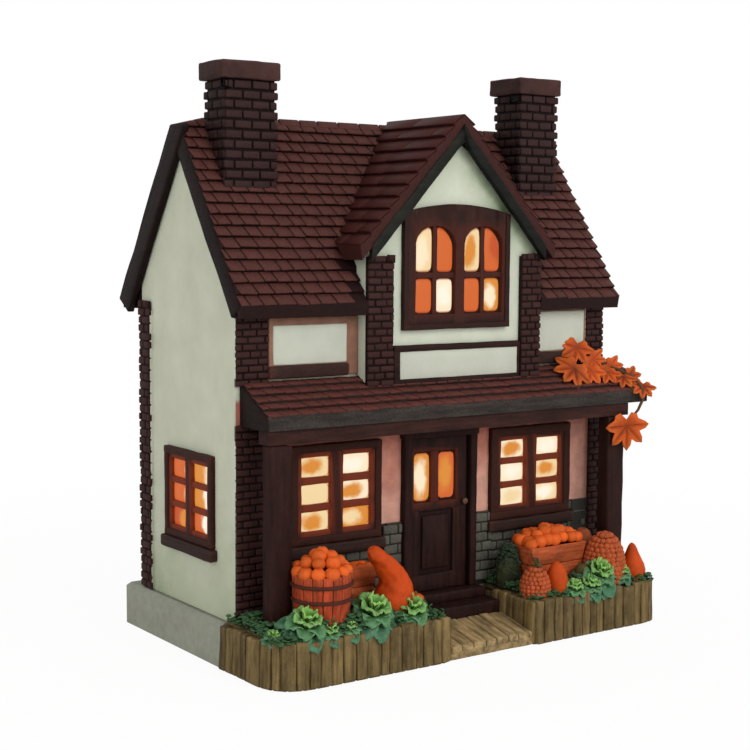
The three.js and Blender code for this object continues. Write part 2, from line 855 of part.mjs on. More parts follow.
// Lamps: a board on the tray with two round lamps, and the lead that feeds it
const boardX = about(frontMiddle + boardOffset, boardLength);
const boardZ = [trayTop + trayWall + seat, trayTop + trayWall + seat + boardThickness];
piece("light_board", box(boardX, about(trayMiddle, boardDepth), boardZ), material(0x1f5a36, 0.5));
const domeRise = lampRadius;
const lampProfile = [
  [0, 0],
  [lampRadius + lampRim, 0],
  [lampRadius + lampRim, 1],
  [lampRadius, 1],
  [lampRadius, lampHeight - domeRise],
  [lampRadius * Math.SQRT1_2, lampHeight - domeRise * (1 - Math.SQRT1_2)],
  [0, lampHeight],
];
const lamp = (x) => turned(lampProfile, 14, [x, trayMiddle, boardZ[1] + seat]);
piece("lamp_left", lamp(boardX[0] + lampInset), glow());
piece("lamp_right", lamp(boardX[1] - lampInset), glow());
const leadX = trayX[0] - trayWall - seat - leadRadius;
const leadBend = boardX[0] - leadX;
piece(
  "lamp_lead",
  rod(
    [
      [leadX, trayMiddle + leadOffset, trayTop - cellDiameter / 2],
      [leadX, trayMiddle + leadOffset, trayTop],
      [leadX, trayMiddle + leadOffset / 2, boardZ[1] + leadRise / 2],
      [leadX + leadBend / 2, trayMiddle, boardZ[1] + leadRise],
      [boardX[0] + leadRadius, trayMiddle, boardZ[1] + leadRadius + seat],
    ],
    leadRadius,
    8,
    16,
  ),
  plastic(),
);

// House body: walls with gable ends, hollow and open below
function wallSection(inset, foot) {
  const under = (y) => undersideAt(y) - (seat + inset / 2) / Math.cos(roofPitch);
  return [
    [inset, foot],
    [wallDepth - inset, foot],
    [wallDepth - inset, under(wallDepth - inset)],
    [ridgeBack, under(ridgeBack)],
    [inset, under(inset)],
  ];
}
const walls = alongX(wallSection(0, wallFoot), [0, wallWidth]);
const hollow = alongX(wallSection(wallThickness, wallFoot - 5), [wallThickness, wallWidth - wallThickness]);
const doorway = box(
  about(doorMiddle, 2 * (doorHole + seat)),
  [-cornerProud - 1, wallThickness + 1],
  swelled([doorFoot, doorFoot + doorHeight + seat], seat),
);
const gableFoot = porchWallTop + gableWindowFoot;
const gableLights = 2 * gableLightWidth + gableLightGap;
const gableShoulder = gableUnder - (gableRise * gableWindowWidth) / 2 - gableWindowHead;
const wellX = about(gableMiddle, gableLights + wallThickness);
const lightWell = box(wellX, [bayFace, wallThickness + 1], [gableFoot, ridgeHeight]);

const root = 0.2;
const panelFoot = tilesAt(-seat, seat) + seat;
const upperFront = [panelFoot, eaveHeight - seat];
const lowerFront = [moundHeight + 1, porchSoffit - beamHeight - seat];
const dado = [moundHeight + 1, wallFoot + dadoHeight];
const windowSide = porchWindow.width / 2 + sillOver + seat;
const cornerBricks = [
  brickStrip([0, cornerBrickLeft], 0, upperFront, cornerProud, root),
  brickStrip([wallWidth - cornerBrickRight, wallWidth], 0, upperFront, cornerProud, root),
  brickStrip([0, porchCornerBrick], 0, lowerFront, cornerProud, root),
  brickStrip([wallWidth - porchCornerBrick, wallWidth], 0, lowerFront, cornerProud, root),
  brickStrip([windowLeftMiddle + windowSide, caseX[0] - seat], 0, dado, cornerProud, root),
  brickStrip([caseX[1] + seat, windowRightMiddle - windowSide], 0, dado, cornerProud, root),
  brickStrip([windowRightMiddle + windowSide, wallWidth - porchCornerBrick], 0, dado, cornerProud, root),
];
const rakeDrop = (seat + rakeBoardDepth) / Math.cos(roofPitch);
const quoinTop = Math.min(eaveHeight - seat, undersideAt(wallDepth) - rakeDrop - 2 * seat);
const quoinFoot = plinthHeight + 1;
function quoins(x, side) {
  const courseLine = brickLine(quoinFoot, quoinTop, cornerProud);
  const line = courseLine.map(([depth, height]) => [x + side * depth, height]);
  const inside = x - side * root;
  return alongY([[inside, quoinTop], [inside, quoinFoot], ...line], [wallDepth - quoinWidth, wallDepth]);
}
piece(
  "house_body",
  cut(
    join([walls, ...cornerBricks, quoins(0, -1), quoins(wallWidth, 1)]),
    hollow,
    onFront(openingFor(porchWindow), windowLeftMiddle, windowFoot),
    onFront(openingFor(porchWindow), windowRightMiddle, windowFoot),
    onLeft(openingFor(sideWindow), sideWindowMiddle, sideWindowFoot),
    onRight(openingFor(sideWindow), sideWindowMiddle, sideWindowFoot),
    doorway,
    lightWell,
  ),
  plaster(),
);

const porchFrame = barredWindow(porchWindow);
const sideFrame = barredWindow(sideWindow);
piece("porch_window_left", onFront(porchFrame, windowLeftMiddle, windowFoot, seat), timber());
piece("porch_window_right", onFront(porchFrame, windowRightMiddle, windowFoot, seat), timber());
piece("side_window_left", onLeft(sideFrame, sideWindowMiddle, sideWindowFoot, seat), timber());
piece("side_window_right", onRight(sideFrame, sideWindowMiddle, sideWindowFoot, seat), timber());

// Translucent sheets glued inside the walls, over the openings
const sheetLap = 2;
const sheetIn = [wallThickness + seat, wallThickness + seat + sheetThickness];
piece(
  "glow_sheet_front",
  box(
    [windowLeftMiddle - porchWindow.width / 2, windowRightMiddle + porchWindow.width / 2],
    sheetIn,
    [windowFoot, doorFoot + doorHeight + 2 * sheetLap],
  ),
  glow(),
);
const sideSheetY = about(sideWindowMiddle, sideWindow.width);
const sideSheetZ = [sideWindowFoot, sideWindowFoot + sideWindow.height];
const sheetInRight = [wallWidth - sheetIn[1], wallWidth - sheetIn[0]];
piece("glow_sheet_left", box(sheetIn, sideSheetY, sideSheetZ), glow());
piece("glow_sheet_right", box(sheetInRight, sideSheetY, sideSheetZ), glow());

// Door case with its threshold steps, the moulded door and its knob
const caseY = [-seat - doorCaseThickness, -seat];
const stepEnd = stepDepth - bedReach;
const treadX = swelled(stepX, -seat);
const threshold = doorFoot - seat;
const lowerTread = (threshold + stepBack) / 2;
const treads = alongX(
  [
    [-seat, 0],
    [-seat, threshold],
    [-treadDepth, threshold],
    [-treadDepth, lowerTread],
    [stepEnd + seat, lowerTread],
    [stepEnd + seat, 0],
  ],
  treadX,
);
piece(
  "door_frame",
  join([
    cut(
      box(caseX, caseY, [threshold - 1, doorFoot + doorHeight + seat + doorCase]),
      box(about(doorMiddle, 2 * doorHole), about(0, 2 * through), [threshold, doorFoot + doorHeight + seat]),
    ),
    treads,
  ]),
  timber(),
);

const doorFace = -doorSunk;
const doorTop = doorFoot + doorHeight;
const lightTop = doorTop - doorHead;
const lightFoot = lightTop - doorLightHeight;
const doorLight = (side) =>
  box(
    about(doorMiddle + (side * (doorLightGap + doorLightWidth)) / 2, doorLightWidth),
    about(0, 2 * through),
    [lightFoot, lightTop],
  );
const panelTop = lightFoot - doorMiddleRail;
const lowerPanel = [doorFoot + doorFootRail, panelTop];
const panelWidth = doorWidth - 2 * doorStile;
piece(
  "front_door",
  cut(
    box(about(doorMiddle, doorWidth), [doorFace, doorFace + doorThickness], [doorFoot + seat, doorTop]),
    doorLight(-1),
    doorLight(1),
    cut(
      box(about(doorMiddle, panelWidth), [-through, doorFace + doorPanelDepth], lowerPanel),
      box(
        about(doorMiddle, panelWidth - 2 * doorMoulding),
        about(0, 2 * through),
        swelled(lowerPanel, -doorMoulding),
      ),
    ),
  ),
  timber(),
);
const knobProfile = [
  [0, 0],
  [knobRadius * 0.5, 0],
  [knobRadius * 0.5, knobRadius * 0.5],
  [knobRadius, knobRadius],
  [knobRadius, knobRadius * 1.5],
  [0, knobRadius * 2],
];
piece(
  "door_knob",
  turned(knobProfile, 10)
    .rotate([90, 0, 0])
    .translate([doorMiddle + doorWidth / 2 - knobInset, doorFace - seat, panelTop + knobRise]),
  material(0x6b4a2e, 0.35, 1),
);

// Main roof, notched where the bay passes through the eave and open over the bay's light well
const eaveCutFoot = eaveHeight - 1;
const bayNotch = box(swelled(bayX, seat), [roofFrontEdge - 2 * tileButt, -seat], [eaveCutFoot, ridgeHeight]);
const roofWell = box(about(gableMiddle, gableLights), [-1, wallThickness], [eaveCutFoot, ridgeHeight]);
piece(
  "main_roof",
  cut(
    join([
      alongX(slopeSection, roofX),
      boxedEave(-seat, ridgeBack - soffitRun - seat),
      boxedEave(wallDepth + seat, ridgeBack + soffitRun + seat),
    ]),
    bayNotch,
    roofWell,
    droopTool(roofX[0], -1),
    droopTool(roofX[1], 1),
  ),
  tile(),
);

// Gable roof: its slopes die into the main slope along two valleys
const gableTiles = alongY(gableSection, [gableFront, ridgeBack]);
piece("gable_roof", cut(gableTiles, underSlope(seat, roofFrontEdge)), tile());

// Rake boards lie on the gable walls, under the tiles' edges
const rakeFrontFoot = eaveHeight;
const rakeBackFoot = eaveHeight - eaveFascia;
function rakeBoard(x) {
  const top = (y) => undersideAt(y) - seat / Math.cos(roofPitch);
  const depth = rakeBoardDepth / Math.cos(roofPitch);
  const front = ridgeBack - soffitRun;
  const back = ridgeBack + soffitRun;
  const board = alongX(
    [
      [front, top(front)],
      [front, top(front) - depth],
      [ridgeBack, top(ridgeBack) - depth],
      [back, top(back) - depth],
      [back, top(back)],
      [ridgeBack, top(ridgeBack)],
    ],
    x,
  );
  const wide = swelled(x, 1);
  return cut(
    board,
    box(wide, [front - 5, ridgeBack], [0, rakeFrontFoot]),
    box(wide, [ridgeBack, back + 5], [0, rakeBackFoot]),
  );
}
piece("rake_board_left", rakeBoard([-seat - rakeBoardThickness, -seat]), timber());
piece("rake_board_right", rakeBoard([wallWidth + seat, wallWidth + seat + rakeBoardThickness]), timber());

piece("chimney_left", stack(chimneyLeft, chimneyLeft.fromWall), brick());
piece("chimney_right", stack(chimneyRight, wallWidth - chimneyRight.fromWall), brick());

// Porch roof, and the beam that carries it
piece("porch_roof", alongX(porchSection, porchX), tile());
const beamTop = porchSoffit - seat;
const beamZ = [beamTop - beamHeight, beamTop];
const beamFront = -porchReach + beamSetback;
const beamX = [porchX[0] + beamSetback, wallWidth];
piece("porch_beam", box(beamX, [beamFront, beamFront + beamDepth], beamZ), timber());

// Posts stand in the beds under the beam
const postY = [beamFront - postForward, beamFront - postForward + postDepth];
const postZ = [moundHeight + seat, beamZ[0] - seat];
piece("porch_post_left", box([postLeftInset, postLeftInset + postWidth], postY, postZ), timber());
piece(
  "porch_post_right",
  box([wallWidth - postRightInset - postWidth, wallWidth - postRightInset], postY, postZ),
  timber(),
);

// Beds with their palisade edging

// The edging's line on plan: straight runs with one rounded corner.
function edgingPath(corners, radius, rounded) {
  const path = new THREE.CurvePath();
  const points = corners.map(([x, y]) => new THREE.Vector2(x, y));
  let from = points[0];
  points.slice(1).forEach((point, i) => {
    if (i + 1 !== rounded) {
      path.add(new THREE.LineCurve(from, point));
      from = point;
      return;
    }
    const start = point.clone().add(from.clone().sub(point).setLength(radius));
    const end = point.clone().add(points[rounded + 1].clone().sub(point).setLength(radius));
    path.add(new THREE.LineCurve(from, start));
    path.add(new THREE.QuadraticBezierCurve(start, point, end));
    from = end;
  });
  return path;
}

// The edging's outline: boards side by side with a groove between neighbours.
function boardedOutline(path) {
  const count = Math.round(path.getLength() / boardWidth);
  const groove = 0.1;
  const outline = [];
  for (let i = 0; i < count; i += 1) {
    [groove, 1 - groove].forEach((share) => {
      const at = path.getPointAt((i + share) / count);
      outline.push([at.x, at.y]);
    });
    if (i < count - 1) {
      const at = path.getPointAt((i + 1) / count);
      const along = path.getTangentAt((i + 1) / count);
      outline.push([at.x - along.y * boardGroove, at.y + along.x * boardGroove]);
    }
  }
  return outline;
}

const bedFront = -bedReach;
const bedSpan = (side) => (side < 0 ? [-bedSide, stepX[0]] : [stepX[1], wallWidth + bedSide]);
const bedRadius = (side) => (side < 0 ? bedCornerLeft : bedCornerRight);

// A bed's plan, drawn in from the palisade's outer face by an inset, with its corner rounded.
function bedPlan(side, inset) {
  const [x0, x1] = swelled(bedSpan(side), -inset);
  const y = bedFront + inset;
  const radius = bedRadius(side) - inset;
  const shape = new THREE.Shape();
  if (side < 0) {
    shape.moveTo(x0, bedWrap);
    shape.lineTo(x0, y + radius);
    shape.quadraticCurveTo(x0, y, x0 + radius, y);
    shape.lineTo(x1, y);
    shape.lineTo(x1, bedWrap);
  } else {
    shape.moveTo(x0, bedWrap);
    shape.lineTo(x0, y);
    shape.lineTo(x1 - radius, y);
    shape.quadraticCurveTo(x1, y, x1, y + radius);
    shape.lineTo(x1, bedWrap);
  }
  shape.closePath();
  return shape;
}

// The rising surface of the earth, lifted by a gap, as a block that reaches down below the table.
const rampFoot = bedFront + rampInset;
const rampTop = rampFoot + rampLength;
function earth(gap, side) {
  const points = [
    [bedFront - through, -1],
    [bedWrap + 1, -1],
    [bedWrap + 1, moundHeight + gap],
    [rampTop, moundHeight + gap],
    [rampFoot, soilHeight + gap],
    [bedFront - through, soilHeight + gap],
  ];
  return alongX(points, swelled(bedSpan(side), through));
}

// One bed: palisade outside, earth inside that rises towards the wall. side is -1 for the left bed.
function bed(side) {
  const [x0, x1] = bedSpan(side);
  const corners =
    side < 0
      ? [[x0, bedWrap], [x0, bedFront], [x1, bedFront], [x1, -seat]]
      : [[x0, -seat], [x0, bedFront], [x1, bedFront], [x1, bedWrap]];
  const outline = boardedOutline(edgingPath(corners, bedRadius(side), side < 0 ? 1 : 2));
  const fence = cut(
    alongZ([...outline, side < 0 ? [x1, bedWrap] : [x0, bedWrap]], [0, bedHeight]),
    alongZ(bedPlan(side, palisadeThickness), [soilHeight, bedHeight + 1]),
  );
  const filled = alongZ(bedPlan(side, palisadeThickness - root), [0, moundHeight + 1]);
  const soil = earth(0, side).intersect(filled);
  const wallSpace = box(swelled([0, wallWidth], seat), [-seat, bedWrap + 1], [-1, moundHeight + 1]);
  return cut(join([fence, soil]), wallSpace);
}

// Where a bed's plants may be: over its earth inside the palisade, and anywhere above the palisade.
function planted(body, side) {
  const inside = alongZ(bedPlan(side, palisadeThickness + seat), [0, bedHeight + 1]);
  const above = box(
    swelled(bedSpan(side), through),
    [bedFront - through, bedWrap],
    [bedHeight + seat, ridgeHeight],
  );
  return cut(body.intersect(join([inside, above])), earth(seat, side));
}
const rightX = (plant) => stepX[1] + plant.x;
const shrubMiddle = [rightX(shrub), shrub.y, moundHeight + shrub.height * shrubSunk];
const bush = cut(
  ball(1, shrubMiddle, [shrub.girth, shrub.girth * shrubDepth, shrub.height]),
  box([stepX[0], wallWidth], [-seat - cornerProud - seat, wallDepth], [0, ridgeHeight]),
  box([stepX[0], wallWidth], [bedFront, 0], [0, soilHeight]),
);
piece("planter_left", bed(-1), plank());
piece("planter_right", join([bed(1), bush]), plank());

// Planked step between the beds: its top slopes up to the threshold
const stepNose = bedFront + stepBackset;
const stepWedge = alongX(
  [
    [stepNose, 0],
    [stepEnd, 0],
    [stepEnd, stepBack],
    [stepNose, stepFront],
  ],
  treadX,
);
const plankPitch = (treadX[1] - treadX[0]) / stepPlanks;
const plankGrooves = Array.from({ length: stepPlanks - 1 }, (_, i) =>
  alongX(
    [
      [stepNose - 1, stepFront - plankGroove],
      [stepEnd + 1, stepBack - plankGroove],
      [stepEnd + 1, stepBack + 1],
      [stepNose - 1, stepFront + 1],
    ],
    about(treadX[0] + (i + 1) * plankPitch, plankGroove),
  ),
);
piece("front_step", cut(stepWedge, ...plankGrooves), plank());

// Gable bay: a wall that stands forward of the front wall, with returns that run back over the slope
const bayFoot = porchSoffit;
const behindFace = join([underSlope(seat, -seat), box([0, wallWidth], [-seat, wallDepth], [0, eaveHeight])]);
const bayInside = underGable(seat + bayThickness, bayFoot - 1, bayWidth / 2 - bayThickness);
const bayShell = cut(
  alongY(underGable(seat, bayFoot, bayWidth / 2), [bayFace, ridgeBack / 2]),
  alongY(bayInside, [bayFace + bayThickness, ridgeBack]),
);

// The window's arched outline, drawn in by an inset: straight sides and a segmental head.
function archedOutline(inset) {
  const half = gableWindowWidth / 2 - inset;
  const foot = gableFoot + inset;
  const shoulder = gableShoulder - inset;
  const radius = (half * half + gableWindowRise * gableWindowRise) / (2 * gableWindowRise);
  const spread = Math.asin(half / radius);
  const shape = new THREE.Shape();
  shape.moveTo(gableMiddle - half, foot);
  shape.lineTo(gableMiddle + half, foot);
  shape.lineTo(gableMiddle + half, shoulder);
  const arcMiddle = shoulder + gableWindowRise - radius;
  shape.absarc(gableMiddle, arcMiddle, radius, Math.PI / 2 - spread, Math.PI / 2 + spread, false);
  return shape;
}
const windowHole = alongY(archedOutline(openingMargin - seat), [bayFace - 1, bayFace + bayThickness + 1]);
piece("gable_bay", cut(bayShell, behindFace, porchSpace(seat), windowHole), plaster());

// Gable window: two arched lights, each with a crossbar and an upright bar
const lightX = (side) => gableMiddle + (side * (gableLightWidth + gableLightGap)) / 2;
const lightSill = gableFoot + gableLightFoot;
const lightSpring = gableShoulder - gableLightHead;
const archRise = gableLightWidth * gableArchShare;
function lightOutline(side) {
  const half = gableLightWidth / 2;
  const shape = new THREE.Shape();
  shape.moveTo(lightX(side) - half, lightSill);
  shape.lineTo(lightX(side) + half, lightSill);
  shape.lineTo(lightX(side) + half, lightSpring);
  shape.absellipse(lightX(side), lightSpring, half, archRise, 0, Math.PI, false);
  return shape;
}
const gableFrameFace = bayFace - seat - gableFrameProud;
const gableFrame = join([
  alongY(archedOutline(0), [gableFrameFace, bayFace - seat]),
  alongY(archedOutline(openingMargin), [bayFace - seat, bayFace + frameBack]),
]);
const lightY = [gableFrameFace - 1, bayFace + frameBack + 1];
const lights = [-1, 1].map((side) => alongY(lightOutline(side), lightY));
const barY = [gableFrameFace + barSunk, bayFace + frameBack - barSunk];
const barEnd = 0.5; // how far a bar's ends run into the frame
const crossbar = lightSill + gableLightLower;
const gableBars = [-1, 1].map((side) =>
  join([
    box(about(lightX(side), gableBar), barY, [lightSill - barEnd, lightSpring + archRise + barEnd]),
    box(about(lightX(side), gableLightWidth + 2 * barEnd), barY, [crossbar, crossbar + gableBar]),
  ]),
);
piece("gable_window", join([cut(gableFrame, ...lights), ...gableBars]), timber());
const gableSheetFace = bayFace + bayThickness + seat;
piece(
  "glow_sheet_gable",
  box(
    about(gableMiddle, gableWindowWidth),
    [gableSheetFace, gableSheetFace + sheetThickness],
    [gableFoot + openingMargin, gableShoulder - openingMargin],
  ),
  glow(),
);

// Bargeboard under the front edge of the gable's tiles
const boardTop = gableUnder - seat / Math.cos(gablePitch);
const boardFoot = boardTop - bargeboardDepth / Math.cos(gablePitch);
const boardHalf = gableHalfWidth - bargeboardInset;
const boardFace = gableFront + bargeboardSetback;
piece(
  "gable_bargeboard",
  alongY(
    [
      [gableMiddle - boardHalf, boardTop - gableRise * boardHalf],
      [gableMiddle - boardHalf, boardFoot - gableRise * boardHalf],
      [gableMiddle, boardFoot],
      [gableMiddle + boardHalf, boardFoot - gableRise * boardHalf],
      [gableMiddle + boardHalf, boardTop - gableRise * boardHalf],
      [gableMiddle, boardTop],
    ],
    [boardFace, boardFace + bargeboardThickness],
  ),
  timber(),
);

// Piers beside the bay's window, and the framed panel between their feet
const pierFace = bayFace - seat;
const pierZ = [porchSoffit, porchWallTop + pierTop];
const pier = (x) => cut(brickStrip(x, pierFace, pierZ, pierProud), porchSpace(seat));
piece("brick_pier_left", pier([bayX[0], bayX[0] + pierWidth]), brick());
piece("brick_pier_right", pier([bayX[1] - pierWidthRight, bayX[1]]), brick());

const underWindow = gableFoot - seat;
const framedX = [bayX[0] + pierWidth + seat, bayX[1] - pierWidthRight - seat];
const framedZ = [underWindow - gablePanelHeight, underWindow];
const framedFace = pierFace - pierProud;
const paleZ = [tilesAt(framedFace, seat) + gablePanelBorder, underWindow - gableBeam];
piece(
  "gable_panel",
  cut(
    box(framedX, [framedFace, pierFace], framedZ),
    box(swelled(framedX, -gablePanelBorder), [framedFace - 1, framedFace + panelRecess], paleZ),
    porchSpace(seat),
  ),
  timber(),
);

// Framed panels of the upper wall, each over a sill
function infill(x) {
  const y = [-seat - panelProud, -seat];
  const z = upperFront;
  const sillZ = [z[0] + panelSillRise, z[0] + panelSillRise + panelSill];
  const field = box(
    [x[0] + panelBorder, x[1] - 2 * panelBorder],
    [y[0] - 1, y[0] + panelRecess],
    [sillZ[1] + panelSillGap, z[1] - panelBorder],
  );
  return join([cut(box(x, y, z), field), box(x, [y[0] - panelSillProud, y[1]], sillZ)]);
}
piece("wall_panel_left", infill([cornerBrickLeft + seat, bayX[0] - seat]), timber());
piece("wall_panel_right", infill([bayX[1] + seat, wallWidth - cornerBrickRight - seat]), timber());

// Produce

// Round fruit heaped over a mouth: rings of balls, each ring as [count, share of the reach, lift].
function heap(place, reach, rings) {
  const balls = rings.flatMap(([count, share, lift], level) =>
    Array.from({ length: count }, (_, i) => {
      const angle = (i * 2 * Math.PI) / count + level * 0.5;
      const x = place[0] + reach[0] * share * Math.cos(angle);
      const y = place[1] + reach[1] * share * Math.sin(angle);
      return ball(fruit, [x, y, place[2] + lift * fruit], [1, 1, fruitSquash]);
    }),
  );
  return join(balls);
}

// A basket: straight staves that lean outwards, held by two hoops, under its heap of fruit.
const basketFoot = soilHeight - 1;
const basketWall = (share) => basket.foot + (basket.mouth - basket.foot) * share;
const hoops = hoopHeights.flatMap((share) => {
  const low = basketFoot + share * (basket.top - basketFoot);
  const girth = basketWall(share);
  return [
    [girth, low],
    [girth + hoopProud, low + hoopBevel],
    [girth + hoopProud, low + hoopHeight],
    [girth, low + hoopHeight + hoopBevel],
  ];
});
const basketProfile = [
  [0, basketFoot],
  [basket.foot, basketFoot],
  ...hoops,
  [basket.mouth, basket.top],
  [basket.mouth - basketWallThickness, basket.top],
  [basket.mouth - basketWallThickness, basket.top - basketFill],
  [0, basket.top - basketFill],
];
const basketSpace = [
  [0, 0],
  [basket.foot + hoopProud + seat, 0],
  [basket.foot + hoopProud + seat, basketFoot],
  [basket.mouth + hoopProud + seat, basket.top],
  [0, basket.top],
];
piece(
  "harvest_basket",
  planted(
    join([
      turned(basketProfile, 18, [basket.x, basket.y, 0]),
      heap([basket.x, basket.y, basket.top], [basket.mouth, basket.mouth], [
        [5, 0.6, 0.2],
        [1, 0, 1],
      ]),
    ]),
    -1,
  ),
  orange(),
);

// A block between two level rectangles, each given as x and y ranges and a height.
function tapered(low, high) {
  const geometry = new THREE.BoxGeometry(1, 1, 1);
  const at = geometry.attributes.position;
  for (let i = 0; i < at.count; i += 1) {
    const level = at.getZ(i) > 0 ? high : low;
    at.setXYZ(i, level.x[at.getX(i) > 0 ? 1 : 0], level.y[at.getY(i) > 0 ? 1 : 0], level.z);
  }
  return solid(geometry);
}

// A crate whose sides lean outwards to its rim, open above.
function crate(size, x0) {
  const x = [x0, x0 + size.width];
  const y = [size.y, size.y + size.depth];
  const ring = (inset, z) => ({ x: swelled(x, -inset), y: swelled(y, -inset), z });
  return cut(
    tapered(ring(crateLean, soilHeight), ring(0, size.rim)),
    tapered(ring(crateLean + crateWall, moundHeight + crateFloor), ring(crateWall, size.rim + seat)),
  );
}
piece("crate_left", planted(crate(leftCrate, leftCrate.x), -1), plank());

// A round gourd whose neck bends up to one side.
const neck = crookneck.girth * 0.46;
const onNeck = (out, up) => [
  crookneck.x - crookneck.girth * out,
  crookneck.y,
  crookneck.height + crookneck.girth * up,
];
const squash = join([
  ball(crookneck.girth, onNeck(0, 0), [1, 1, 1], 2),
  ball(neck * 1.45, onNeck(0.5, 0.8)),
  rod([onNeck(0, 0), onNeck(0.62, 1), onNeck(1.05, 1.85)], neck, 10, 6),
  ball(neck, onNeck(1.05, 1.85)),
]);
piece("crookneck_gourd", planted(squash, -1), orange());

// A ribbed fruit: its girth swells and draws in round its axis.
function ribbed(size, place, ribs, height, depth) {
  const geometry = new THREE.SphereGeometry(size, ribs * 2, 6);
  geometry.rotateX(Math.PI / 2);
  const at = geometry.attributes.position;
  for (let i = 0; i < at.count; i += 1) {
    const angle = Math.atan2(at.getY(i), at.getX(i));
    const swell = 1 - depth * (0.5 - 0.5 * Math.cos(ribs * angle));
    at.setXYZ(i, at.getX(i) * swell, at.getY(i) * swell, at.getZ(i) * height);
  }
  geometry.translate(...place);
  return solid(geometry);
}
piece(
  "small_pumpkin",
  planted(ribbed(pumpkin.girth, [pumpkin.x, pumpkin.y, pumpkin.height], pumpkinRibs, 0.85, 0.12), -1),
  orange(),
);

// A kale: frilled discs that shrink as they rise.
function rosette(x, y, spread) {
  const tiers = [1, 0.6].map((share, level) => {
    const geometry = new THREE.SphereGeometry(spread * share, frills * 2, 4);
    geometry.rotateX(Math.PI / 2);
    const at = geometry.attributes.position;
    for (let i = 0; i < at.count; i += 1) {
      const angle = Math.atan2(at.getY(i), at.getX(i));
      const frill = 1 + 0.12 * Math.cos(frills * angle + level * Math.PI);
      at.setXYZ(i, at.getX(i) * frill, at.getY(i) * frill, at.getZ(i) * 0.5);
    }
    geometry.translate(x, y, bedHeight + spread * 0.42 * level);
    return solid(geometry);
  });
  return join(tiers);
}

// A row of kales joined by a low stem that runs from the first to the last.
function kaleRow(kales, offset) {
  const stem = kales.map((kale) => [kale.x + offset, kale.y, bedHeight + kaleStem]);
  const heads = kales.map((kale) => rosette(kale.x + offset, kale.y, kale.spread));
  return join([...heads, rod(stem, kaleStem, 6, 8)]);
}
const well = (x, y, girth) =>
  turned([[0, 0], [girth, 0], [girth, ridgeHeight], [0, ridgeHeight]], 16, [x, y, 0]);
piece(
  "kale_left",
  cut(
    planted(kaleRow(kalesLeft, 0), -1),
    turned(basketSpace, 18, [basket.x, basket.y, 0]),
    ball(crookneck.girth + 2 * seat, onNeck(0, 0), [1, 1, 1], 2),
    well(pumpkin.x, pumpkin.y, pumpkin.girth + seat),
    box([stepX[0] - seat, stepX[1]], [bedFront - 9, 0], [0, ridgeHeight]),
  ),
  greens(),
);

const crateMiddle = [rightX(rightCrate) + rightCrate.width / 2, rightCrate.y + rightCrate.depth / 2];
const fillX = about(crateMiddle[0], rightCrate.width - 2 * crateWall);
const fillY = about(crateMiddle[1], rightCrate.depth - 2 * crateWall);
piece(
  "crate_right",
  planted(
    join([
      crate(rightCrate, rightX(rightCrate)),
      box(fillX, fillY, [moundHeight + crateFloor - 1, rightCrate.rim - crateFill]),
      heap([...crateMiddle, rightCrate.rim - crateFill / 2], [rightCrate.width / 2, rightCrate.depth / 2], [
        [6, 0.66, 0.4],
        [2, 0.36, 1.3],
      ]),
    ]),
    1,
  ),
  orange(),
);

// A cone of overlapping scales, as rings that step out and in up a swelling outline.
function cone(size) {
  const girth = (share) => size.girth * Math.sqrt(1 - (1.9 * share - 0.85) ** 2 * 0.9);
  const profile = [[0, 0]];
  for (let i = 0; i < coneRows; i += 1) {
    const low = i / coneRows;
    const high = (i + 0.8) / coneRows;
    profile.push([girth(low) * 0.84, size.height * low]);
    profile.push([girth(high), size.height * high]);
  }
  profile[1][1] += 0.1;
  profile.push([0, size.height]);
  return turned(profile, 12, [rightX(size), size.y, soilHeight - 1]);
}
piece("cone_back", planted(cone(coneBack), 1), rust());
piece("cone_front", planted(cone(coneFront), 1), rust());

// A pear-shaped gourd standing up.
const pearShares = [
  [0.7, 0.04],
  [1, 0.26],
  [0.92, 0.46],
  [0.55, 0.68],
  [0.34, 0.86],
  [0.2, 0.98],
];
function pear(size) {
  const side = pearShares.map(([out, up]) => [size.girth * out, size.height * up]);
  return turned([[0, 0], ...side, [0, size.height]], 14, [rightX(size), size.y, soilHeight]);
}
piece("gourd_front", planted(pear(gourdFront), 1), orange());
piece("gourd_corner", planted(pear(gourdCorner), 1), orange());

piece(
  "kale_right",
  cut(
    planted(kaleRow(kalesRight, stepX[1]), 1),
    well(rightX(coneBack), coneBack.y, coneBack.girth + seat),
    well(rightX(coneFront), coneFront.y, coneFront.girth + seat),
    well(rightX(gourdFront), gourdFront.y, gourdFront.girth + seat),
    well(rightX(gourdCorner), gourdCorner.y, gourdCorner.girth + seat),
  ),
  greens(),
);

// Maple leaves on the right end of the porch roof, with one that hangs over its edge
const leafLobes = 5;
const lobeReach = [0.62, 0.9, 1, 0.9, 0.62];
function mapleLeaf(size) {
  const lobe = THREE.MathUtils.degToRad(65);
  const points = [[-0.05, -0.5]];
  for (let i = 0; i < leafLobes; i += 1) {
    const angle = (i - 2) * lobe;
    const notch = angle + lobe / 2;
    points.push([Math.sin(angle) * lobeReach[i], Math.cos(angle) * lobeReach[i]]);
    if (i < leafLobes - 1) points.push([Math.sin(notch) * 0.45, Math.cos(notch) * 0.45]);
  }
  points.push([0.05, -0.5]);
  return alongZ(points.map(([x, y]) => [x * size, y * size]), [0, 1]);
}
const porchTilt = THREE.MathUtils.radToDeg(porchPitch);
const leafSpots = [
  { x: -26, y: -11, size: 7.5, turn: 30 },
  { x: -19, y: -7.5, size: 6.5, turn: 100 },
  { x: -13, y: -11, size: 6, turn: 200 },
  { x: -7, y: -7.5, size: 6, turn: 320 },
  { x: -2, y: -11, size: 6.5, turn: 60 },
  { x: 3.5, y: -13, size: 6, turn: 150 },
];
const leafLift = 2.4;
const vineRadius = 1;
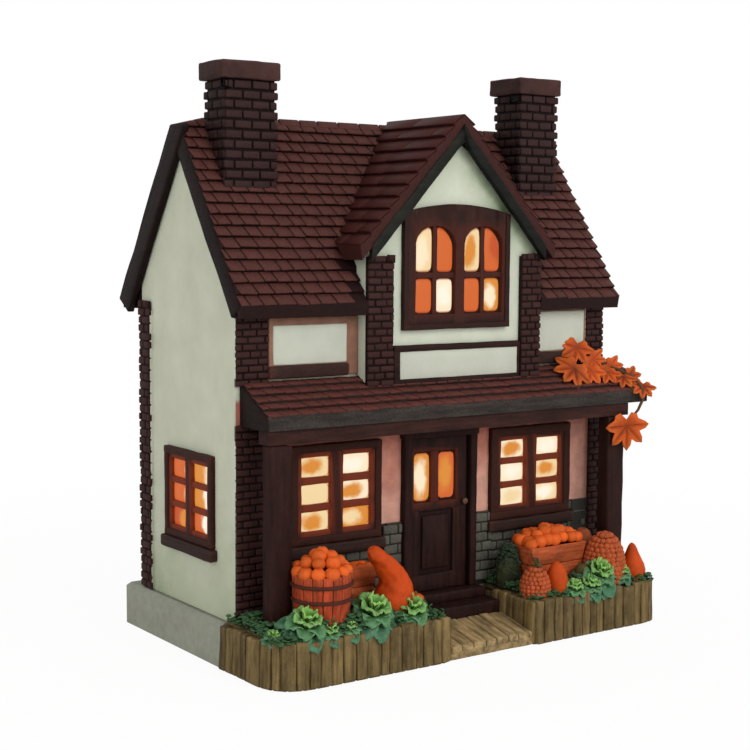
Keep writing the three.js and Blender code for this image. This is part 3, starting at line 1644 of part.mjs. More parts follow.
const lyingLeaves = leafSpots.map((leaf) =>
  mapleLeaf(leaf.size)
    .rotate([-8, 0, leaf.turn])
    .rotate([porchTilt, 0, 0])
    .translate([wallWidth + leaf.x, leaf.y, tilesAt(leaf.y, seat) + leafLift]),
);
const stemAt = (x, y) => [wallWidth + x, y, tilesAt(y, seat) + leafLift - vineRadius / 2];
const hangX = -2;
const hangY = -porchReach - tileButt - seat - 1.4;
const vine = rod([stemAt(-27, -11), stemAt(-13, -9), stemAt(-3, -10), stemAt(3, -13)], vineRadius, 6, 12);
const hanging = (z) => [wallWidth + hangX, hangY, z];
const overEdge = rod(
  [stemAt(hangX, -11), stemAt(hangX, -17), hanging(tilesAt(hangY, 0)), hanging(porchSoffit - 8)],
  vineRadius,
  6,
  12,
);
const hangingLeaf = mapleLeaf(9)
  .rotate([90, 0, 0])
  .rotate([0, 190, 0])
  .translate([wallWidth + hangX, hangY + vineRadius / 2, porchSoffit - 10]);
piece(
  "maple_vine",
  cut(
    join([vine, ...lyingLeaves, overEdge, hangingLeaf]),
    porchSpace(seat),
    box([0, wallWidth + 40], [-seat - cornerProud - seat - panelProud, wallDepth], [0, ridgeHeight]),
  ),
  orange(),
);

// The whole house moves so that its origin is the middle of the box that it fills, at the table.
const bounds = new THREE.Box3().setFromObject(house);
const centre = bounds.getCenter(new THREE.Vector3());
house.position.set(-centre.x, -centre.y, -bounds.min.z);
const part = new THREE.Group();
part.add(house);

export default part;
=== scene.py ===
# %% [markdown]
# # A lighted halloween cottage, dressed in Blender
#
# The real piece is a hand-painted resin house about 24 cm tall. The solids of its walls, roofs and base
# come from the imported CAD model, which stays where it is. This lesson adds what a painter and a modeller
# add by hand: single tiles and bricks, hewn timber, glowing panes, and the harvest in the two beds.
# The frame comes first, and its box is kept, because the finished model may not outgrow it.

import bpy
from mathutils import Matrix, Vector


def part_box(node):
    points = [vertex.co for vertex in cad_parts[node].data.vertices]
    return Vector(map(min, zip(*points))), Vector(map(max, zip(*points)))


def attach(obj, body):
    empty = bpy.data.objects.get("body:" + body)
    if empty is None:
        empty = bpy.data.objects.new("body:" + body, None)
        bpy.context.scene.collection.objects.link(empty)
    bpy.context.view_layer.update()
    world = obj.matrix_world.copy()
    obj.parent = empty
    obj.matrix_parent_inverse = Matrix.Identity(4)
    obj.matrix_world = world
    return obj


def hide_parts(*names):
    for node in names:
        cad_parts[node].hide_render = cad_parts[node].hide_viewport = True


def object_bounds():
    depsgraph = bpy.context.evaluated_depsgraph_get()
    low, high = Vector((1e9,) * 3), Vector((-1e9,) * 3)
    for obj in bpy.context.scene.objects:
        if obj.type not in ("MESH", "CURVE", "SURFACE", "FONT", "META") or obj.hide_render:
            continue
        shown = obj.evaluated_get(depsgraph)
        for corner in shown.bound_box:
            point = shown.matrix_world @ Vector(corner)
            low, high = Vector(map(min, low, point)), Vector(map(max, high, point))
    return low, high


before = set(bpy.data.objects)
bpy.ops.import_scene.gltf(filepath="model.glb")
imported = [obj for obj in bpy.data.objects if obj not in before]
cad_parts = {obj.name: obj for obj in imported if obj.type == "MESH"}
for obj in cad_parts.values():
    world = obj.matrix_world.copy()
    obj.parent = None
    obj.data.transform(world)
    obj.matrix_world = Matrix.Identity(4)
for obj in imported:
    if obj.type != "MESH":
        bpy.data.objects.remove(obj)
cad_box = [list(corner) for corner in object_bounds()]

import math
import random

import bmesh
import bpy
from mathutils import Matrix, Vector, noise

# Blender takes the offset of its vector noise from the clock unless a seed is set.
noise.seed_set(7)
MM = 0.001
X, Y, Z = Vector((1, 0, 0)), Vector((0, 1, 0)), Vector((0, 0, 1))
print("CAD box in mm:", [[round(c / MM, 1) for c in corner] for corner in cad_box])

# %% [markdown]
# ## Camera, floor and light
#
# The photograph looks at the house's left front corner from a little above the porch. The camera is set by
# the direction it looks in, the point it looks at and its distance. The light is a bright sky and two large
# soft lamps, so that a colour renders about as it is written. The floor and the sky are white only for the
# camera and for reflections, which leaves the house its own shading and the floor its shadow.

# %% Camera
view_azimuth = math.radians(-35.03)
view_elevation = math.radians(5.39)
view_roll = math.radians(0.37)
view_target = Vector((-0.8, 19.3, 106.8)) * MM
view_distance = 656.2 * MM
backwards = Vector((
    math.sin(view_azimuth) * math.cos(view_elevation),
    -math.cos(view_azimuth) * math.cos(view_elevation),
    math.sin(view_elevation),
))
camera = bpy.data.objects.new("camera", bpy.data.cameras.new("camera"))
camera.data.lens = 71.05
camera.data.clip_start = 0.01
camera.location = view_target + backwards * view_distance
turned = (-backwards).to_track_quat("-Z", "Y").to_matrix().to_4x4()
camera.rotation_euler = (turned @ Matrix.Rotation(view_roll, 4, "Z")).to_euler()
bpy.context.scene.collection.objects.link(camera)
bpy.context.scene.camera = camera
bpy.context.scene.view_settings.view_transform = "Standard"
print("camera at", [round(c, 3) for c in camera.location])


# %% Node helpers
def add_node(tree, kind, settings=None, **inputs):
    """Adds a shader node. A value that is a socket is linked, and any other is written on the input."""
    made = tree.nodes.new(kind)
    for name, value in (settings or {}).items():
        setattr(made, name, value)
    for name, value in inputs.items():
        socket = made.inputs[int(name[1:])] if name[0] == "i" and name[1:].isdigit() else made.inputs[name]
        if isinstance(value, bpy.types.NodeSocket):
            tree.links.new(value, socket)
        else:
            socket.default_value = value
    return made


def combine(tree, operation, first, second, clamp=False):
    """The result of a Math node."""
    settings = {"operation": operation, "use_clamp": clamp}
    return add_node(tree, "ShaderNodeMath", settings, i0=first, i1=second).outputs[0]


def product(tree, first, second):
    return combine(tree, "MULTIPLY", first, second)


def inverse(tree, value):
    return combine(tree, "SUBTRACT", 1.0, value)


def ramp(tree, value, low, high, start=0.0, end=1.0, kind="LINEAR"):
    """A value carried over from the range low to high to the range start to end."""
    made = add_node(tree, "ShaderNodeMapRange", {"interpolation_type": kind},
                    Value=value, i1=low, i2=high, i3=start, i4=end)
    return made.outputs[0]


def cloud(tree, place, scale, detail, roughness):
    """The grey of a noise texture at a place."""
    made = add_node(tree, "ShaderNodeTexNoise", Vector=place, Scale=scale, Detail=detail, Roughness=roughness)
    return made.outputs["Fac"]


def object_place(tree):
    return add_node(tree, "ShaderNodeTexCoord").outputs["Object"]


def attribute(tree, name, output="Fac"):
    return add_node(tree, "ShaderNodeAttribute", {"attribute_name": name}).outputs[output]


def times(tree, color, factor):
    """A colour made darker or lighter by a factor."""
    return add_node(tree, "ShaderNodeVectorMath", {"operation": "SCALE"}, i0=color, Scale=factor).outputs[0]


def blend_color(tree, share, low, high):
    return add_node(tree, "ShaderNodeMix", {"data_type": "RGBA"}, i0=share, i6=low, i7=high).outputs[2]


# %% White sky for the camera, plain light for the house
world = bpy.data.worlds.new("sky")
bpy.context.scene.world = world
world.use_nodes = True
sky = world.node_tree
sky.nodes.clear()
path = add_node(sky, "ShaderNodeLightPath")
seen = combine(sky, "MAXIMUM", path.outputs["Is Camera Ray"], path.outputs["Is Glossy Ray"])
shown = combine(sky, "MAXIMUM", seen, path.outputs["Is Transmission Ray"])
dim = add_node(sky, "ShaderNodeBackground", Color=(1.0, 0.99, 0.97, 1), Strength=0.70)
white = add_node(sky, "ShaderNodeBackground", Color=(1, 1, 1, 1), Strength=1.0)
both = add_node(sky, "ShaderNodeMixShader", i0=shown, i1=dim.outputs[0], i2=white.outputs[0])
add_node(sky, "ShaderNodeOutputWorld", Surface=both.outputs[0])


def soft_lamp(name, place, power, size):
    """A square lamp that looks at the middle of the house."""
    light = bpy.data.lights.new(name, "AREA")
    light.energy = power
    light.size = size
    lamp = bpy.data.objects.new(name, light)
    lamp.location = Vector(place)
    lamp.rotation_euler = (view_target - lamp.location).to_track_quat("-Z", "Y").to_euler()
    bpy.context.scene.collection.objects.link(lamp)


soft_lamp("key_lamp", (0.10, -1.25, 0.75), 10.5, 0.9)
soft_lamp("fill_lamp", (-1.2, -0.35, 0.55), 2.6, 0.8)

# %% Floor
floor_mesh = bmesh.new()
bmesh.ops.create_grid(floor_mesh, x_segments=1, y_segments=1, size=3.0)
floor_data = bpy.data.meshes.new("floor")
floor_mesh.to_mesh(floor_data)
floor_mesh.free()
floor = bpy.data.objects.new("floor", floor_data)
bpy.context.scene.collection.objects.link(floor)
floor_material = bpy.data.materials.new("pale_floor")
floor_material.use_nodes = True
tree = floor_material.node_tree
tree.nodes.clear()
path = add_node(tree, "ShaderNodeLightPath")
matt = add_node(tree, "ShaderNodeBsdfDiffuse", Color=(0.86, 0.86, 0.85, 1))
bright = add_node(tree, "ShaderNodeEmission", Color=(1, 1, 1, 1), Strength=1.0)
far = add_node(tree, "ShaderNodeVectorMath", {"operation": "LENGTH"}, i0=object_place(tree))
faded = ramp(tree, far.outputs["Value"], 0.13, 0.5, 0.93, 1.0)
share = product(tree, path.outputs["Is Camera Ray"], faded)
mixed = add_node(tree, "ShaderNodeMixShader", i0=share, i1=matt.outputs[0], i2=bright.outputs[0])
add_node(tree, "ShaderNodeOutputMaterial", Surface=mixed.outputs[0])
floor_data.materials.append(floor_material)

# %% [markdown]
# ## How the paint works
#
# Resin houses are painted in three passes: a dark base coat, a thinner wash that stays in the hollows, and a
# dry brush that catches the raised edges. One node group does the same. It mottles the base colour with
# noise and with each tile's or brick's own `tint`, darkens where the surface is hollow, and brushes the
# lighter colour over the edges. Pointiness tells edges from hollows, so bricks and tiles need real bevels.

# %% Group: painted layers
def new_group(name, inputs, outputs):
    """A shader group with its sockets. Each input is (name, socket type, default value)."""
    group = bpy.data.node_groups.new(name, "ShaderNodeTree")
    for label, kind, value in inputs:
        socket = group.interface.new_socket(label, in_out="INPUT", socket_type=kind)
        socket.default_value = value
    for label, kind in outputs:
        group.interface.new_socket(label, in_out="OUTPUT", socket_type=kind)
    return group, group.nodes.new("NodeGroupInput"), group.nodes.new("NodeGroupOutput")


FLOAT, COLOR, VECTOR = "NodeSocketFloat", "NodeSocketColor", "NodeSocketVector"
layers, given, gives = new_group(
    "painted_layers",
    [
        ("Base", COLOR, (0.1, 0.1, 0.1, 1)),
        ("Wash", COLOR, (0.02, 0.02, 0.02, 1)),
        ("Brush", COLOR, (0.3, 0.3, 0.3, 1)),
        ("Brushing", FLOAT, 0.5),
        ("Scale", FLOAT, 300.0),
        ("Mottle", FLOAT, 0.25),
    ],
    [("Color", COLOR), ("Height", FLOAT)],
)
spot = object_place(layers)
blotch = cloud(layers, spot, given.outputs["Scale"], 5.0, 0.6)
fine = cloud(layers, spot, product(layers, given.outputs["Scale"], 5.0), 4.0, 0.7)
lighter = combine(layers, "ADD", 1.0, given.outputs["Mottle"])
mottle = ramp(layers, blotch, 0.3, 0.7, inverse(layers, given.outputs["Mottle"]), lighter)
tone = combine(layers, "ADD", mottle, attribute(layers, "tint"))
coat = times(layers, given.outputs["Base"], tone)
pointiness = add_node(layers, "ShaderNodeNewGeometry").outputs["Pointiness"]
hollow = ramp(layers, pointiness, 0.40, 0.495, 1.0, 0.0)
edge = ramp(layers, pointiness, 0.51, 0.60)
broken = product(layers, edge, ramp(layers, fine, 0.35, 0.62, 0.25, 1.0))
brushed = combine(layers, "MULTIPLY", broken, given.outputs["Brushing"], clamp=True)
washed = blend_color(layers, hollow, coat, given.outputs["Wash"])
layers.links.new(blend_color(layers, brushed, washed, given.outputs["Brush"]), gives.inputs["Color"])
layers.links.new(fine, gives.inputs["Height"])

# %% Group: wood grain along one axis
grain, given, gives = new_group(
    "carved_grain",
    [("Stretch", VECTOR, (1, 1, 1)), ("Scale", FLOAT, 400.0)],
    [("Streak", FLOAT), ("Height", FLOAT)],
)
along = add_node(grain, "ShaderNodeVectorMath", {"operation": "MULTIPLY"}, i0=object_place(grain),
                 i1=given.outputs["Stretch"])
fibre = cloud(grain, along.outputs[0], given.outputs["Scale"], 6.0, 0.65)
grain.links.new(ramp(grain, fibre, 0.36, 0.64), gives.inputs["Streak"])
grain.links.new(fibre, gives.inputs["Height"])

# %% Material maker
GRAIN_SCALE, GRAIN_STRETCH = 420.0, 0.12


def rgba(red, green, blue):
    return (red, green, blue, 1)


def coat_of(tree, base, wash, brush, brushing, scale, mottle=0.25):
    """The painted layers in three colours, as one node."""
    return add_node(tree, "ShaderNodeGroup", {"node_tree": layers}, Base=rgba(*base), Wash=rgba(*wash),
                    Brush=rgba(*brush), Brushing=brushing, Scale=scale, Mottle=mottle)


def new_material(name):
    """A material, its node tree and its Principled shader."""
    made = bpy.data.materials.new(name)
    made.use_nodes = True
    return made, made.node_tree, made.node_tree.nodes["Principled BSDF"]


def opened(material):
    """The tree of a finish, its shader, and the colour that feeds it, for more layers to go between."""
    shader = material.node_tree.nodes["Principled BSDF"]
    return material.node_tree, shader, shader.inputs["Base Color"].links[0].from_socket


def painted(name, base, wash, brush, brushing=0.6, scale=300.0, rough=(0.5, 0.75), bump=0.25,
            grain_along=None, grain_dark=0.45, mottle=0.25):
    """A painted resin finish. grain_along is the axis that carved wood runs along, or None."""
    made, tree, shader = new_material(name)
    coat = coat_of(tree, base, wash, brush, brushing, scale, mottle)
    color, height = coat.outputs["Color"], coat.outputs["Height"]
    gloss = ramp(tree, height, 0.3, 0.7, *rough)
    if grain_along is not None:
        stretch = [GRAIN_STRETCH if axis == grain_along else 1.0 for axis in range(3)]
        wood = add_node(tree, "ShaderNodeGroup", {"node_tree": grain}, Stretch=stretch, Scale=GRAIN_SCALE)
        shade = ramp(tree, wood.outputs["Streak"], 0.0, 1.0, 1.0 - grain_dark, 1.0 + grain_dark * 0.5)
        color = times(tree, color, shade)
        height = combine(tree, "ADD", wood.outputs["Height"], height)
    relief = add_node(tree, "ShaderNodeBump", Height=height, Strength=bump, Distance=0.4 * MM)
    shader.inputs["Specular IOR Level"].default_value = 0.1
    tree.links.new(color, shader.inputs["Base Color"])
    tree.links.new(gloss, shader.inputs["Roughness"])
    tree.links.new(relief.outputs[0], shader.inputs["Normal"])
    return made


# %% [markdown]
# ## Shaping tools
#
# Tiles, bricks, boards and bars are all blocks whose eight corners are placed on a face, a slope or a curve.
# A block starts as bmesh's cube, and a function moves its corners to where the piece needs them. Cuts and
# a little noise then make the long edges look carved by hand, and one bevel rounds them all.

# %% Blocks on a plane
SET_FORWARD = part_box("house_body")[0].y + 26.5 * MM


def at_mm(x, y, z):
    """A point of the house's drawing in mm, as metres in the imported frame, which lies a little forward."""
    return Vector((x * MM, y * MM + SET_FORWARD, z * MM))


def plane(origin, right, up):
    """Turns (across, upwards, outwards) in metres into a point. right and up span the plane."""
    out = right.cross(up)

    def place(across, upwards, outwards=0.0):
        return origin + right * across + up * upwards + out * outwards

    return place


def new_mesh():
    made = bmesh.new()
    made.verts.layers.float.new("tint")
    return made


def tint_all(bm, verts, tint):
    """Gives corners their share of lighter or darker paint."""
    layer = bm.verts.layers.float["tint"]
    for vert in verts:
        vert[layer] = tint


def add_block(bm, place, tint=0.0, material=0):
    """Adds a cube and moves each corner to place(x, y, z), where x, y and z are 0 or 1 at its corners."""
    corners = bmesh.ops.create_cube(bm, size=1.0)["verts"]
    for corner in corners:
        corner.co = place(corner.co.x + 0.5, corner.co.y + 0.5, corner.co.z + 0.5)
    tint_all(bm, corners, tint)
    for face in {face for corner in corners for face in corner.link_faces}:
        face.material_index = material


def mix(low, high, share):
    return low + (high - low) * share


def bar(bm, face, across, upwards, outwards, tint=0.0, material=0):
    """A straight member on a plane, between two values along each of its directions."""
    add_block(bm, lambda x, y, z: face(mix(*across, x), mix(*upwards, y), mix(*outwards, z)), tint, material)


def bar_mm(bm, face, x0, x1, z0, z1, back, front, tint=0.0):
    """A bar whose six limits are in mm."""
    bar(bm, face, (x0 * MM, x1 * MM), (z0 * MM, z1 * MM), (back * MM, front * MM), tint)


# %% Carving and rounding
def hewn(bm, step, wobble, seed):
    """Cuts every edge that is longer than step, and moves the corners by smooth noise of wobble's size."""
    groups = {}
    for e in bm.edges:
        cuts = round(e.calc_length() / step) - 1
        if cuts > 0:
            groups.setdefault(min(cuts, 60), []).append(e)
    for cuts, edges in sorted(groups.items()):
        alive = [e for e in edges if e.is_valid]
        bmesh.ops.subdivide_edges(bm, edges=alive, cuts=cuts, use_grid_fill=True)
    shift = Vector((seed * 1.7, seed * 0.9, seed * 2.3))
    for vert in bm.verts:
        vert.co += noise.noise_vector(vert.co / (2.2 * step) + shift) * wobble


def roughened(bm, scale, size):
    """Moves every vertex a little, by smooth noise of a size in mm."""
    for vert in bm.verts:
        vert.co += noise.noise_vector(vert.co * scale) * size * MM


def round_edges(bm, radius, segments=2, sharper_than=0.5):
    """Bevels every edge whose two faces meet at more than an angle."""
    sharp = [e for e in bm.edges if len(e.link_faces) == 2 and e.calc_face_angle(0) > sharper_than]
    bmesh.ops.bevel(bm, geom=sharp, offset=radius, offset_type="OFFSET", segments=segments, profile=0.5,
                    affect="EDGES", clamp_overlap=True, material=-1)


def finished(name, bm, materials, body="house", stands_for=(), smooth=True):
    """Closes a bmesh into an object that rides on a body and takes its materials, and hides the nodes it stands
    for.
    """
    bmesh.ops.recalc_face_normals(bm, faces=bm.faces[:])
    for face in bm.faces:
        face.smooth = smooth
    data = bpy.data.meshes.new(name)
    bm.to_mesh(data)
    bm.free()
    for used in materials:
        data.materials.append(used)
    made = bpy.data.objects.new(name, data)
    bpy.context.scene.collection.objects.link(made)
    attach(made, body)
    if stands_for:
        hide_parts(*stands_for)
    print(name, len(data.polygons), "faces")


def dress(node, *materials):
    """Gives a carried-over CAD node its finish."""
    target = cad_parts[node].data.materials
    target.clear()
    for used in materials:
        target.append(used)

# %% [markdown]
# ## Tiled roofs
#
# The CAD roof already steps down in courses, so a single tile is a thin slab that lies on its course, with
# its lower edge a little proud. Each slab is one block with its corners placed on the slope, and its two side
# edges lean, as the carved joints of the real roof do. A seeded generator gives every tile its own width,
# lift and tint, so that no two courses repeat. The tiles nobody sees, under the gable roof, are left out.

# %% Tile finishes
roof_tile = painted("roof_tile", (0.035, 0.0122, 0.0106), (0.004, 0.001, 0.001), (0.125, 0.042, 0.033),
                    0.55, 260)
gable_tile = painted("gable_tile", (0.024, 0.006, 0.005), (0.003, 0.001, 0.001), (0.085, 0.020, 0.016), 0.5,
                     260)
gable_edge = painted("gable_edge", (0.020, 0.0055, 0.005), (0.004, 0.001, 0.001), (0.075, 0.022, 0.018),
                     0.5, 260)
porch_tile = painted("porch_tile", (0.052, 0.016, 0.014), (0.005, 0.001, 0.001), (0.145, 0.042, 0.033),
                     0.55, 300)
tile_bed = painted("tile_bed", (0.009, 0.003, 0.003), (0.002, 0.001, 0.001), (0.03, 0.010, 0.008), 0.3, 260)

# %% One course of tiles
TILE_BUTT, TILE_THICK = 1.1 * MM, 0.45 * MM


def lay_course(bm, slope, span, low, high, width, lean, rng, keep=None, tint=0.16, gap=0.6 * MM):
    """Lays tiles on one course, from low to high on the slope.

    slope(along, up, out) is a plane. The CAD surface stands a butt proud of it at the course's lower edge and
    dies into it at the upper edge.
    """
    at = span[0] + rng.uniform(-width, 0)
    length = high - low
    while at < span[1]:
        wide = width * rng.uniform(0.78, 1.25)
        left, right = at + gap / 2, at + wide - gap / 2
        at += wide
        if right < span[0] + 0.8 * MM or left > span[1] - 0.8 * MM:
            continue
        middle = (left + right) / 2, (low + high) / 2
        if keep is not None and not keep(*middle):
            continue
        lift = rng.uniform(0.0, 0.22) * MM
        slip = rng.uniform(-0.35, 0.15) * MM
        turn = rng.uniform(-0.18, 0.18) * MM

        def place(x, y, z):
            across = mix(left, right, x) + (y - 0.5) * lean
            across = min(max(across, span[0]), span[1])
            along = mix(low + slip + turn * (x - 0.5) * 2, high - 0.15 * MM, y)
            foot = TILE_BUTT * (1 - (along - low) / length)
            top = foot + TILE_THICK * (1.0 - 0.5 * y) + lift * (1 - 0.6 * y)
            return slope(across, along, mix(foot - 0.5 * MM, top, z))

        add_block(bm, place, rng.uniform(-tint, tint))


# %% Main roof slopes
ROOF_LEFT, ROOF_RIGHT = -100.1 * MM, 94.3 * MM
EAVE = at_mm(0, -33.9, 141.3)
RIDGE = at_mm(0, 16.0, 215.0)
UP_FRONT = (RIDGE - EAVE).normalized()
SLOPE_LENGTH = (RIDGE - EAVE).length
ROOF_COURSES = 17
DROOP_LONG, DROOP_DEEP = 17.0, 4.5
GABLE_MIDDLE, GABLE_RIDGE = 3.1 * MM, 217.8 * MM
GABLE_PITCH, GABLE_HALF = math.radians(47.0), 50.0 * MM
GABLE_RISE = math.tan(GABLE_PITCH)
TILE_EDGE = 0.22 * MM
front_slope = plane(EAVE, X, UP_FRONT)
BACK_EAVE = Vector((0, 2 * RIDGE.y - EAVE.y, EAVE.z))
UP_BACK = Vector((0, -UP_FRONT.y, UP_FRONT.z))
back_slope = plane(BACK_EAVE, -X, UP_BACK)


def beside_gable(across, along):
    """False where the gable's roof covers this spot of the front slope, well inside the valley."""
    height = EAVE.z + UP_FRONT.z * along
    edge = (GABLE_RIDGE - height) / GABLE_RISE
    aside = abs(across - GABLE_MIDDLE)
    return aside >= edge - 5 * MM or aside >= GABLE_HALF


def cut_away(bm, point, outward):
    """Cuts off all that lies beyond a plane, and closes the cut."""
    everything = bm.verts[:] + bm.edges[:] + bm.faces[:]
    cut = bmesh.ops.bisect_plane(bm, geom=everything, plane_co=point, plane_no=outward, clear_outer=True)
    rim = [e for e in cut["geom_cut"] if isinstance(e, bmesh.types.BMEdge) and len(e.link_faces) == 1]
    bmesh.ops.holes_fill(bm, edges=rim, sides=0)


def droop_cuts(bm):
    """Both ends of the ridge fall away, as on the hand-shaped original."""
    fall = Vector((DROOP_LONG + 1.0, 0, -DROOP_DEEP)).normalized()
    for end, side in ((ROOF_LEFT, -1), (ROOF_RIGHT, 1)):
        outward = Vector((side * -fall.z, 0, fall.x))
        cut_away(bm, Vector((end - side * DROOP_LONG * MM, 0, RIDGE.z + 1.3 * MM)), outward)


def lay_courses(bm, slope, span, length, courses, width, lean, rng, **more):
    """Covers a slope with equal courses."""
    step = length / courses
    for course in range(courses):
        lay_course(bm, slope, span, course * step, (course + 1) * step, width * MM, lean * MM, rng, **more)


for label, slope, span, keep, lean, seed in (
    ("front", front_slope, (ROOF_LEFT, ROOF_RIGHT), beside_gable, -0.9, 11),
    ("back", back_slope, (-ROOF_RIGHT, -ROOF_LEFT), None, 1.2, 12),
):
    bm = new_mesh()
    lay_courses(bm, slope, span, SLOPE_LENGTH, ROOF_COURSES, 6.9, lean, random.Random(seed), keep=keep)
    droop_cuts(bm)
    round_edges(bm, TILE_EDGE, 1)
    finished(label + "_roof_tiles", bm, [roof_tile])
dress("main_roof", tile_bed)

# %% Ridge tiles
SLOPE_BACK, SLOPE_UP = 0.56, 0.83  # how far the main slope goes back and up in each unit of its length
bm = new_mesh()
rng = random.Random(13)
at = ROOF_LEFT
while at < ROOF_RIGHT - 2 * MM:
    wide = min(rng.uniform(8.5, 11.0) * MM, ROOF_RIGHT - at)
    for side in (-1, 1):
        def place(x, y, z):
            across = at + wide * x - (0.2 * MM if x else -0.2 * MM)
            from_end = min(across - ROOF_LEFT, ROOF_RIGHT - across)
            droop = DROOP_DEEP * MM * max(0.0, 1 - from_end / (DROOP_LONG * MM))
            down = 2.6 * MM * y
            thick = 0.9 * MM * z + 0.25 * MM
            away = down * SLOPE_BACK + thick * SLOPE_UP * min(1, y * 4)
            rise = thick * (1.2 if y == 0 else SLOPE_BACK)
            return Vector((across, RIDGE.y + side * away, RIDGE.z - droop - down * SLOPE_UP + rise))

        add_block(bm, place, rng.uniform(-0.12, 0.12))
    at += wide
round_edges(bm, 0.25 * MM, 1)
finished("ridge_tiles", bm, [roof_tile])

# %% Gable roof tiles
gable_foot = GABLE_RIDGE - GABLE_RISE * GABLE_HALF
GABLE_FRONT, GABLE_COURSES = -36.9 * MM + SET_FORWARD, 11


def on_main_slope(point):
    """How far a point lies above the front slope's plane."""
    return (point - EAVE).dot(X.cross(UP_FRONT))


for side, label in ((-1, "left"), (1, "right")):
    rng = random.Random(20 + side)
    up = Vector((-side * math.cos(GABLE_PITCH), 0, math.sin(GABLE_PITCH)))
    origin = Vector((GABLE_MIDDLE + side * GABLE_HALF, 0, gable_foot))
    slope = plane(origin, Y if side > 0 else -Y, up)
    span = (GABLE_FRONT, 20 * MM) if side > 0 else (-20 * MM, -GABLE_FRONT)
    bm = new_mesh()
    lay_courses(bm, slope, span, GABLE_HALF / math.cos(GABLE_PITCH), GABLE_COURSES, 24, -0.8 * side, rng,
                tint=0.10, gap=0.1 * MM, keep=lambda a, b: on_main_slope(slope(a, b, 0)) > -8 * MM)
    cut_away(bm, RIDGE + Vector((0, 0, -0.2 * MM)), -X.cross(UP_FRONT))
    round_edges(bm, TILE_EDGE, 1)
    finished("gable_tiles_" + label, bm, [gable_tile])
dress("gable_roof", gable_edge)

# %% Porch roof tiles
PORCH_WALL = at_mm(0, -25.7, 112.0)
PORCH_EDGE = at_mm(0, -45.4, 100.1)
porch_up = PORCH_WALL - PORCH_EDGE
porch_slope = plane(PORCH_EDGE, X, porch_up.normalized())
bm = new_mesh()
lay_courses(bm, porch_slope, (-94.9 * MM, 101.6 * MM), porch_up.length, 5, 7.2, -1.4, random.Random(31))
round_edges(bm, TILE_EDGE, 1)
finished("porch_tiles", bm, [porch_tile])

# %% [markdown]
# ## Chimneys and brickwork
#
# A chimney is a dark core with a ring of bricks per course. The bond alternates, so a course starts a half
# brick further round than the one below it. The bricks on the walls are the same blocks on a flat face.
# All of them are cut along their long edges and pushed about by a little noise before they are rounded,
# because the originals were pressed into the mould by hand.

# %% Brick finishes
stack_brick = painted("stack_brick", (0.0155, 0.0075, 0.0075), (0.003, 0.001, 0.001), (0.075, 0.032, 0.028),
                      0.45, 240, bump=0.4)
stack_cap = painted("stack_cap", (0.045, 0.019, 0.017), (0.010, 0.004, 0.004), (0.15, 0.068, 0.058), 0.5,
                    160, bump=0.35)
wall_brick = painted("wall_brick", (0.017, 0.0075, 0.007), (0.003, 0.001, 0.001), (0.085, 0.027, 0.021),
                     0.5, 300, bump=0.4)
mortar = painted("dark_mortar", (0.006, 0.0025, 0.0022), (0.002, 0.001, 0.001), (0.025, 0.010, 0.008), 0.3,
                 500, bump=0.5)

# %% Chimney stacks
COURSE, STACK_FOOT, STACK_JOINT = 3.9 * MM, 186.0 * MM, 0.34 * MM
PAINTED_SHADE_LEFT = -0.88  # tint of the bricks on the left side: painted shade that makes that side darker


def chimney(name, node, middle, size, cap_foot, top):
    """A stack on an oblong plan, with its cap, all in mm."""
    rng = random.Random(len(name) + int(middle[0]))
    half_x, half_y = size[0] / 2 * MM, size[1] / 2 * MM
    cap_low = cap_foot * MM
    centre = at_mm(*middle, 0)
    bm = new_mesh()
    core = plane(centre, X, Y)
    inner = 0.95 * MM
    bar(bm, core, (-half_x + inner, half_x - inner), (-half_y + inner, half_y - inner),
        (STACK_FOOT, (cap_foot + 0.4) * MM), -0.5, 1)
    courses = round((cap_low - STACK_FOOT) / COURSE)
    for course in range(courses):
        low = cap_low - (courses - course) * COURSE
        for number, (x, y, direction, length) in enumerate((
            (-half_x, -half_y, X, 2 * half_x), (half_x, -half_y, Y, 2 * half_y),
            (half_x, half_y, -X, 2 * half_x), (-half_x, half_y, -Y, 2 * half_y),
        )):
            face = plane(centre + Vector((x, y, 0)), direction, Z)
            brick = length / (3 if length > 20 * MM else 2.4)
            header = (course + number) % 2 == 0
            cuts = [0.0]
            at = brick * (0.55 if header else 1.0)
            while at < length - 0.35 * brick:
                cuts.append(at + rng.uniform(-0.25, 0.25) * MM)
                at += brick
            cuts.append(length)
            for start, end in zip(cuts, cuts[1:]):
                proud = rng.uniform(-0.05, 0.22) * MM
                begin = start + (STACK_JOINT if start else (0.0 if header else STACK_JOINT * 2.4))
                stop = end - (STACK_JOINT if end < length else (STACK_JOINT * 2.4 if header else 0.0))
                upwards = low + 1.35 * STACK_JOINT, low + COURSE - 1.35 * STACK_JOINT
                # The bricks of the left side get painted shade.
                tint = rng.uniform(-0.22, 0.25) + (PAINTED_SHADE_LEFT if number == 3 else 0.0)
                bar(bm, face, (begin, stop), upwards, (-1.5 * MM, proud), tint)
    roughened(bm, 140, 0.16)
    round_edges(bm, 0.5 * MM, 2)
    finished(name + "_bricks", bm, [stack_brick, mortar], stands_for=[node])
    bm = new_mesh()
    proud = 1.6 * MM
    bar(bm, core, (-half_x - proud, half_x + 0.5 * MM), (-half_y - proud, half_y + proud),
        (cap_low, top * MM))
    hewn(bm, 2.6 * MM, 0.32 * MM, middle[0])
    # The cap's left side is darkened too, as painted shade.
    tint_all(bm, [v for v in bm.verts if v.co.x < centre.x - half_x - proud + 0.6 * MM], -0.5)
    round_edges(bm, 0.85 * MM, 3, 0.7)
    finished(name + "_cap", bm, [stack_cap], stands_for=[node])


chimney("left_stack", "chimney_left", (-77.7, 4.1), (24.4, 17.0), 229.0, 236.2)
chimney("right_stack", "chimney_right", (71.8, 4.8), (22.6, 18.6), 231.7, 238.9)

